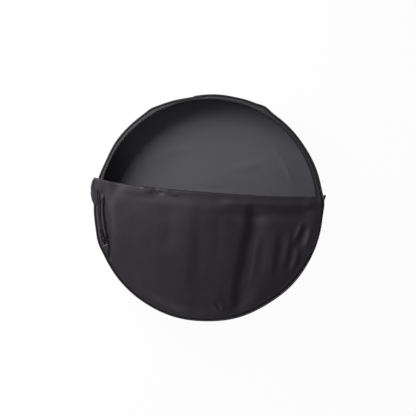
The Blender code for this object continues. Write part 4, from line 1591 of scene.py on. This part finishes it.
    def clear(self, x: Array, y: Array, height: Array) -> Array:
        """Heights kept clear of the flap that lies folded down behind the panel.

        Args:
            x: Places to the right, in metres.
            y: Places upwards, in metres.
            height: The cloth's heights over the rim there.

        Returns:
            The heights, eased off where they come near the flap.
        """
        folded, (drop, start, end) = FORM.turned(x, y), self.fall
        least = self.clearance - FORM.dome(*folded) - drop * eased(np.hypot(*folded), start, end)
        return least + self.softness * np.logaddexp(0, (height - least) / self.softness)

    def covering(self, radius: Array, angle: Array) -> Array:
        """How far the panel stands up over the zip and the rim that it covers, at both ends of the fold.

        Args:
            radius: The radii of the places.
            angle: Their angles.

        Returns:
            The heights.
        """
        degrees, from_top = np.degrees(angle), np.degrees(FORM.from_top(angle))
        covered = eased(from_top, *self.cover.degrees) * (degrees < 90)
        right = self.cover.lift(from_top, radius) + self.over_rim.lift(degrees, radius) * covered
        middle, width, reach = self.pocket_place
        away = radius - reach
        room = hump(degrees - middle, width) * hump(away, np.where(away < 0, *self.pocket_reach))
        return np.where(FORM.left(angle), self.corner.lift(degrees, radius), right) + self.pocket * room

    def sewn_down(self, past: Array, angle: Array) -> Array:
        """How far the cloth stands up or down beside its sewn edge, at distances past that edge."""
        from_top = np.degrees(FORM.from_top(angle))
        share = np.maximum(eased(from_top, *self.sewn_ends), ~FORM.left(angle))
        return share * sum(ridge.lift(past) for ridge in self.sewn)

    def lift(self, x: Array, y: Array) -> Array:
        """The level of the panel's outer face over each place.

        Args:
            x: Places to the right, in metres.
            y: Places upwards, in metres.

        Returns:
            The level at each place.
        """
        radius, angle, (side, up) = np.hypot(x, y), np.arctan2(y, x) % TURN, FORM.to_fold(x, y)
        degrees, past = np.degrees(angle), radius - self.rim(angle)
        height = self.drape.lift(x, y, FORM.fold_edge(side) - up)
        height = height + sum(shape.lift(x, y) for shape in self.loose + self.creases)
        height = height * eased(past, *self.inset) + FORM.dome(x, y)
        away, (start, reach) = radius - np.interp(degrees, *np.array(self.groove_line).T), self.filled_widths
        filled, beside = between(degrees, *self.filled_ends), between(degrees, *self.groove_ends)
        filled = filled * (1 - hump(away, start)) * hump(away, reach) * (away < 0)
        height = height + self.filled * filled + beside * self.groove.lift(away)
        height = self.clear(x, y, height) + self.edge_lift * beside * eased(past, *self.edge_band)
        return FORM.depth + height + self.sewn_down(past, angle) + self.covering(radius, angle)

    def outline(self, edge: Callable[[Array], Array], height: float, reach: float) -> tuple[Grid, Grid]:
        """The line under the fold and the sewn line, as places with x and y last.

        Args:
            edge: The radius of the sewn line at an angle.
            height: The height of the line under the fold, at its middle.
            reach: The radius at which that line ends.

        Returns:
            The two lines, each from the left end to the right.
        """
        lean = math.asin((FORM.fold_rise(reach) + height) / reach)
        angles = np.linspace(math.pi - lean - FORM.fold_tilt, TURN + lean - FORM.fold_tilt, self.columns)
        sewn = around(edge(angles), angles, 0.0)[:, :2]
        side, across = FORM.along_fold(sewn), FORM.fold_axes()[1]
        level = FORM.fold_rise(side) + height
        for end, inwards in zip((0, -1), (self.fold_ends[0], -self.fold_ends[1])):
            near = eased(side, side[end] + inwards, side[end])
            level = level + near * (sewn[end] @ across - level[end])
        return np.stack(FORM.on_fold(side, level), -1), sewn

    def surface(self, top: Grid, sewn: Grid, rows: int) -> Grid:
        """The outer face between two lines."""
        x, y = np.moveaxis(top + (sewn - top) * np.linspace(0, 1, rows)[:, None, None], -1, 0)
        return points_at(x, y, self.lift(x, y))

    def panel(self) -> Piece:
        """The outer cloth, rolled under at the fold."""
        height = FORM.fold_height + FORM.fold_lift - FORM.fold_roll
        face = self.surface(*self.outline(self.edge, height, FORM.fabric_edge), self.rows)
        line, across = face[0], np.append(FORM.fold_axes()[1], 0.0)
        at_end = eased(np.hypot(line[:, 0], line[:, 1]), *self.end_radii)
        half = line[:, 2] - FORM.fold_level
        half = half + at_end * ((line[:, 2] - self.end_roll) / 2 - half)
        turns = np.linspace(self.roll_turn, 0, self.roll_rows + 1)[:-1, None]
        rolled = line + FORM.fold_roll * np.sin(turns)[..., None] * across
        rolled[..., 2] = line[:, 2] - half + half * np.cos(turns)
        return cloth("lower_front", np.concatenate([rolled, face]), FORM.shell)

    def lining(self) -> Piece:
        """The lining behind the panel."""

        def edge(angle: Array) -> Array:
            """The radius of the sewn edge."""
            past = eased(FORM.from_top(angle), FORM.tab_end, self.lining_end)
            return FORM.lining_edge + (self.lining_past + FORM.rim_offset(angle)) * past

        lines = self.outline(edge, FORM.fold_height - FORM.fold_roll, FORM.lining_edge)
        face = self.surface(*lines, self.lining_rows) - UP * (FORM.shell + self.lining_room)
        return cloth("lower_front_lining", face, FORM.lining)

    def seams(self, lines: Lines) -> None:
        """Adds the stitches along the sewn edge and beside the open zip.

        Args:
            lines: The lines of stitches on the bag.
        """
        long, short = np.radians(np.linspace(178, 361, 700)), np.radians(np.linspace(166.2, 170.6, 40))
        rows = [(self.rim(long) - inset, long) for inset in self.stitch_rows]
        for radius, angles in [*rows, (self.edge(short) - self.corner_row, short)]:
            place = around(radius, angles, 0.0)
            place[:, 2] = self.lift(place[:, 0], place[:, 1])
            lines.add(place, UP, 0.0001)

    def build(self, lines: Lines) -> None:
        """Makes and dresses the pieces, and adds their stitches to the lines.

        Args:
            lines: The lines of stitches on the bag.
        """
        panel = dress(self.panel(), Finish.SHELL, "front_panel")
        lining = dress(self.lining(), Finish.LINING, "front_lining")
        self.seams(lines)


@dataclass
class Flap:
    """The upper part of the front, turned down on the fold behind the lower part.

    It laps over the fold when it is closed, and its half of the zip starts a little way from the others.
    """

    columns: int = 200
    rows: int = 90
    lining_rows: int = 60
    lap: float = 0.0015
    past_fold: float = 0.0012
    zip_start: float = 0.008
    tape_width: float = 0.014
    stitch_row: float = 0.0035
    loose: Rumple = Rumple(0.120, 0.0008, 7, 21)

    def turned(self, points: Grid) -> Grid:
        """Points of the closed flap, turned half round on the fold's axis."""
        x, y = FORM.turned(points[..., 0], points[..., 1])
        return points_at(x, y, 2 * FORM.fold_level - points[..., 2])

    def closed(self, edge: float, drop: float, past: float, rows: int) -> Grid:
        """The outer face of a closed cloth between the arc and the fold.

        Args:
            edge: The radius of the arc.
            drop: How far the cloth lies under the outer one.
            past: How far it reaches over the fold's edge.
            rows: The points from the arc down.

        Returns:
            The points of the face.
        """
        lean = math.asin((FORM.fold_edge(edge) + past) / edge)
        angles = np.linspace(math.pi - lean - FORM.fold_tilt, lean - FORM.fold_tilt, self.columns)
        arc = around(edge, angles, 0.0)[:, :2]
        side = FORM.along_fold(arc)
        line = np.stack(FORM.on_fold(side, FORM.fold_edge(side) + past), -1)
        line[0], line[-1] = arc[0], arc[-1]
        x, y = np.moveaxis(arc + (line - arc) * np.linspace(0, 1, rows)[:, None, None], -1, 0)
        beyond = FORM.to_fold(x, y)[1] - FORM.fold_height
        lap = self.lap * eased(beyond, 0.060, 0.020)
        inside = eased(beyond, 0.010, 0.050) * eased(np.hypot(x, y), edge - 0.008, edge - 0.045)
        level = FORM.depth - drop + FORM.dome(x, y) + lap + self.loose.lift(x, y) * inside
        return points_at(x, y, level)

    def cloths(self) -> tuple[Piece, Piece]:
        """Makes and dresses the cloth and its lining.

        Returns:
            The two pieces.
        """
        face = self.closed(FORM.fabric_edge, 0.0, self.past_fold, self.rows)
        panel = thick_sheet("upper_front", self.turned(face), self.turned(face - UP * FORM.shell))
        face = self.closed(FORM.lining_edge, FORM.shell + 0.0004, FORM.fold_roll / 2, self.lining_rows)
        lining = thick_sheet("upper_front_lining", self.turned(face - UP * FORM.lining), self.turned(face))
        dress(panel, Finish.SHELL, "flap_panel", body="flap")
        dress(lining, Finish.LINING, "flap_lining", body="flap")
        return panel, lining

    def edge(self) -> None:
        """Makes and dresses the zip's half along the arc, and the stitches beside it."""
        zipper = Zip()
        start, end = zipper.right_fold + self.zip_start, zipper.left_fold - self.zip_start
        base, flat = FORM.zip_radius - zipper.base - FORM.gap, np.zeros((7, 1))
        angles = steps(start, end)
        tape = zipper.tape("upper_zip_tape", angles, base - self.tape_width, base, flat, self.turned)
        dress(tape, Finish.TAPE, "flap_zip_tape", body="flap")
        row, seam = Lines(), Lines()
        teeth = around(FORM.zip_radius - zipper.reach, zipper.teeth(start, end, 0.5)[::-1], FORM.tape_level)
        row.add(self.turned(teeth)[::-1], -UP)
        dress(TOOTH.grown("upper_zip_row", row), Finish.TEETH, "flap_zip_teeth", body="flap")
        seam_angles = np.linspace(start + 0.04, math.pi - 0.28, 600)
        place = around(FORM.fabric_edge - self.stitch_row, seam_angles, 0.0)
        place[:, 2] = FORM.depth + FORM.dome(place[:, 0], place[:, 1])
        seam.add(self.turned(place), -UP, 0.0001)
        dress(STITCH.grown("upper_front_stitches", seam), Finish.THREAD, body="flap")

    def build(self) -> None:
        """Makes and dresses the pieces, the zip's other half among them."""
        panel, lining = self.cloths()
        self.edge()


@dataclass
class ZipCorner:
    """The bend of the opened zip edge, a loop of tape that stands out past the rim at the fold's left end.

    Attributes:
        start: The angle of its upper end.
        length: Its length along the rim.
        width: The loop's width.
        level: The level of its underside.
        furrow: The furrow along it, across the loop.
        teeth_inset: How far inside its outer side the teeth lie.
        outline: How far it stands out past the rim at shares of its length, in metres.
        swell: The height of the loop at the same shares.
    """

    start: float = math.radians(164.7)
    length: float = 0.086
    width: float = 0.0225
    level: float = 0.1004
    furrow: Ridge = Ridge(-0.0007, 0.25, 0.16)
    teeth_inset: float = 0.0046
    outline: tuple[Span, ...] = (
        (0.00, 0.0100), (0.06, 0.0132), (0.14, 0.0152), (0.38, 0.0157), (0.50, 0.0134), (0.60, 0.0130),
        (0.83, 0.0072), (0.92, 0.0030), (1.00, 0.0004),
    )
    swell: tuple[float, ...] = (0.0030, 0.0056, 0.0066, 0.0060, 0.0050, 0.0054, 0.0040, 0.0030, 0.0016)

    def course(self, share: Array) -> tuple[Array, Array, Array]:
        """The radius of its outer side, its angle and its height at shares of its length."""
        places, out = np.array(self.outline).T
        angle = self.start + share * self.length / FORM.radius
        return FORM.radius + np.interp(share, places, out), angle, np.interp(share, places, self.swell)

    def loop(self) -> Piece:
        """The loop of tape."""
        share, turns = np.linspace(0, 1, 70)[:, None], ring(22)
        outer, angle, tall = self.course(share)
        waves = (np.cos(turns), 0.75), (np.sin(turns), 0.85)
        across, rise = (np.sign(wave) * np.abs(wave) ** power for wave, power in waves)
        wide = self.width * (0.55 + 0.45 * np.sin(np.clip(share * 1.1, 0, 1) * math.pi) ** 0.5)
        lean = 0.35 + 0.65 * eased(across, -0.9, 0.5)
        level = self.level + tall * (1 + rise) / 2 * lean + self.furrow.lift(across) * (rise > 0)
        return loft("corner_loop", around(outer - wide * (1 - across) / 2, angle, level))

    def row(self) -> Lines:
        """The line of the teeth that show on the loop."""
        lines = Lines()
        outer, angle, tall = self.course(np.linspace(0.06, 0.46, 11))
        lines.add(around(outer - self.teeth_inset, angle, self.level + 0.96 * tall - 0.0004), UP)
        return lines

    def build(self) -> None:
        """Makes and dresses the loop and the teeth on it."""
        loop = dress(self.loop(), Finish.TAPE, "zip_edge_corner")
        teeth = dress(TOOTH.grown("corner_teeth", self.row()), Finish.TEETH)
        for piece in (loop, teeth):
            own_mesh(piece)


@dataclass
class Handle:
    """The webbing handle over the top of the side band, with its doubled grip and its sewn ends.

    Angles are half lengths or run from the top, and the seam and cross are where the grip's stitches lie.
    """

    base: float = 0.3670
    width: float = 0.038
    thickness: float = 0.0018
    half: float = math.radians(33)
    slack: float = 0.0012
    grip_half: float = 0.0475 / 0.367
    grip_width: float = 0.026
    grip_thickness: float = 0.0044
    grip_seam: float = 0.0095
    grip_cross: float = 0.0105
    patch_start: float = math.radians(26.29)
    patch_end: float = math.radians(33.47)
    patch_width: float = 0.044
    patch_thickness: float = 0.0016
    patch_gap: float = 0.0003
    patch_inset: Span = (0.010, 0.005)

    def shift(self, turned: Array) -> Array:
        """How far the handle follows the rim's offset at angles from the top."""
        return FORM.side_offset(turned + TOP, FORM.depth / 2)

    def at(self, radius: Values, turned: Array, level: Values) -> Grid:
        """Points at angles from the top, at radii that follow the rim and levels from the band's middle."""
        return around(radius + self.shift(turned), turned + TOP, FORM.depth / 2 + level)

    def run(self, name: str, strip: Array, radius: Array, turned: Array) -> Piece:
        """A strip that runs along angles from the top, at radii that follow the rim."""
        sections = band_sections(strip, radius + self.shift(turned), turned + TOP, FORM.depth / 2)
        return loft(name, sections)

    def strap(self, name: str, start: float, end: float) -> Piece:
        """One run of webbing, from one angle from the top to another.

        Args:
            name: The piece's name.
            start: Where it starts.
            end: Where it ends.

        Returns:
            The strap.
        """
        turned = np.linspace(start, end, 64)
        share = np.clip((np.abs(turned) / self.half - 0.55) / 0.24, -1, 1)
        radius = self.base + self.thickness / 2 + self.slack * (1 + np.cos(math.pi * share)) / 2
        return self.run(name, rounded_strip(self.width, self.thickness, 9, 0.00022), radius, turned)

    def grip(self) -> Piece:
        """The webbing's middle, its edges folded in and sewn."""
        turned = np.linspace(-self.grip_half, self.grip_half, 48)
        strip = rounded_strip(self.grip_width, self.grip_thickness, 5, 0.00035, 4)
        return self.run("handle_grip_roll", strip, self.base + self.grip_thickness / 2, turned)

    def patch(self, name: str, side: int) -> Piece:
        """The fabric patch over one end of the webbing, its edges turned in.

        Args:
            name: The piece's name.
            side: 1 at the left end, and -1 at the right one.

        Returns:
            The patch.
        """
        turned = side * np.linspace(self.patch_start, self.patch_end, 30)[None, :]
        across, ends = np.linspace(-1, 1, 24)[:, None], np.linspace(0, 1, 30)[None, :]
        hem = 1 - hump(1 - np.abs(across), 0.10) - hump(np.minimum(ends, 1 - ends), 0.06) * 0.6
        floor = self.base + self.thickness + self.patch_gap
        radius = floor + 0.0003 + self.patch_thickness * (0.62 + 0.2 * hem)
        faces = (self.at(reach, turned, self.patch_width / 2 * across) for reach in (radius, floor))
        return thick_sheet(name, *faces)

    def sew(self, lines: Lines, radius: float, turned: Values, level: Values, lift: float = 0.0) -> None:
        """Adds a line of stitches at a radius, at angles from the top and levels from the band's middle."""
        turned, level = np.broadcast_arrays(turned, level)
        lines.add(self.at(radius, turned, level), around(1.0, turned + TOP, 0.0), lift)

    def seams(self, lines: Lines) -> None:
        """Adds the box and cross of stitches on each patch.

        Args:
            lines: The lines of stitches on the bag.
        """
        inset, edge = self.patch_inset
        low, high, half = self.patch_start + inset, self.patch_end - inset, self.patch_width / 2 - edge
        corners = [(low, -half), (high, -half), (high, half), (low, half), (low, -half), (high, half)]
        corners += [(low, half), (high, -half)]
        radius = self.base + self.thickness + 2 * self.patch_gap + 0.82 * self.patch_thickness
        for side in (-1, 1):
            for start, end in zip(corners, corners[1:]):
                turned, level = np.linspace(start, end, 24).T
                self.sew(lines, radius, side * turned, level, 0.0001)

    def grip_seams(self) -> Lines:
        """The stitches along the grip's folded edges and across its ends."""
        lines, radius = Lines(), self.base + self.grip_thickness
        long, cross = self.grip_half - 0.006, self.grip_half - 0.010
        for level in (-self.grip_seam, self.grip_seam):
            self.sew(lines, radius, np.linspace(-long, long, 60), level)
        for end in (-cross, cross):
            self.sew(lines, radius, end, np.linspace(-self.grip_cross, self.grip_cross, 20))
        return lines

    def build(self, lines: Lines) -> None:
        """Makes and dresses the pieces.

        Args:
            lines: The lines of stitches on the bag.
        """
        join, sides = FORM.gap / FORM.radius, (("left", 1), ("right", -1))
        for name, side in sides:
            strap = self.strap(f"{name}_webbing", side * (self.grip_half + join), side * self.half)
            dress(strap, Finish.WEBBING, f"handle_strap_{name}", body=None)
            turns = (TOP + side * turn for turn in (self.patch_start, self.grip_half))
            start, end = (tuple(Vector(around(self.base, turn, FORM.depth / 2))) for turn in turns)
            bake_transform(strap)
        grip = dress(self.grip(), Finish.WEBBING, "handle_grip", body="handle")
        dress(STITCH.grown("grip_stitches", self.grip_seams()), Finish.THREAD, body="handle")
        for name, side in sides:
            patch = dress(self.patch(f"{name}_patch", side), Finish.SHELL, f"handle_anchor_{name}")
        self.seams(lines)


# The studio


@dataclass(frozen=True)
class Lamp:
    """A square soft lamp: its place, its width in metres and its power in watts."""

    name: str
    place: Triple
    width: float
    power: float


@dataclass
class Studio:
    """A pale floor, soft lamps and a camera that looks straight down on the front of the bag.

    The view is the width of the picture at the front, and the sensor's width is in mm.
    """

    distance: float = 2.6
    view: float = 1.3312
    centre: Span = (-0.0013, 0.0013)
    sensor: float = 36.0
    lamps: tuple[Lamp, ...] = (
        Lamp("key", (-0.90, 0.80, 0.72), 1.0, 31.0), Lamp("fill", (-0.55, -1.15, 0.80), 1.2, 4.2),
    )
    ambient: float = 0.15
    floor_half: float = 6.0
    floor_level: float = -0.0003
    whiteness: float = 0.96

    def camera(self) -> None:
        """Makes the camera."""
        lens = bpy.data.cameras.new("camera")
        lens.sensor_width = self.sensor
        lens.lens = self.sensor * self.distance / self.view
        held = placed("camera", lens)
        held.location = (*self.centre, FORM.depth + self.distance)
        bpy.context.scene.camera = held

    def lights(self) -> None:
        """Makes the lamps."""
        for lamp in self.lamps:
            light = bpy.data.lights.new(lamp.name, "AREA")
            light.shape, light.size, light.energy = "SQUARE", lamp.width, lamp.power
            held = placed(lamp.name, light)
            held.location = lamp.place
            aim = Vector((0, 0, FORM.depth)) - Vector(lamp.place)
            held.rotation_mode = "QUATERNION"
            held.rotation_quaternion = aim.to_track_quat("-Z", "Y")
            held.visible_camera = False

    def seen(self, shader: Shader) -> Signal:
        """1 where a camera, a reflection or a view through glass looks at the surface."""
        path, rays = shader.node("ShaderNodeLightPath").outputs, ("Camera", "Glossy", "Transmission")
        camera, glossy, glass = (Signal(shader, path[f"Is {ray} Ray"]) for ray in rays)
        return shader.maths("MINIMUM", camera + glossy + glass, 1.0)

    def floor(self) -> None:
        """Makes the floor, which shows white and keeps the bag's soft shadow."""
        shader = Shader("pale_floor")
        plain = shader.signal("ShaderNodeBsdfDiffuse", 0, None, {"Color": colour((0.9, 0.9, 0.9))})
        white = shader.signal("ShaderNodeEmission", 0, None, {"Color": WHITE, "Strength": 1.0})
        share = self.whiteness * self.seen(shader)
        both = shader.node("ShaderNodeMixShader", None, {0: share, 1: plain, 2: white})
        mesh, half = bpy.data.meshes.new("floor"), self.floor_half
        square = ((-half, -half), (half, -half), (half, half), (-half, half))
        mesh.from_pydata([(x, y, self.floor_level) for x, y in square], [], [(0, 1, 2, 3)])
        mesh.materials.append(shader.close(both))
        placed("floor", mesh)

    def surround(self) -> None:
        """Makes the light from all round, which shows white."""
        world = bpy.data.worlds.new("surround")
        world.use_nodes = True
        tree = world.node_tree
        tree.nodes.clear()
        camera = add_node(tree, "ShaderNodeLightPath").outputs["Is Camera Ray"]
        level = add_node(tree, "ShaderNodeMapRange", None, {0: camera, "To Min": self.ambient, "To Max": 1.0})
        light = add_node(tree, "ShaderNodeBackground", None, {"Color": WHITE, "Strength": level.outputs[0]})
        add_node(tree, "ShaderNodeOutputWorld", None, {0: light.outputs[0]})
        bpy.context.scene.world = world

    def build(self) -> None:
        """Makes the studio."""
        bpy.context.scene.view_settings.view_transform = "Standard"
        self.camera()
        self.floor()
        self.surround()
        self.lights()


def main() -> None:
    """Builds the studio and the bag, piece by piece."""
    logging.basicConfig(level=logging.INFO, format="%(name)s %(message)s")
    Studio().build()
    lines = Lines()
    Back().build()
    SideBand().build(lines)
    Zip().build()
    Front().build(lines)
    Flap().build()
    ZipCorner().build()
    Handle().build(lines)
    dress(STITCH.grown("bag_stitches", lines), Finish.THREAD)


if __name__ == "__main__":
    main()
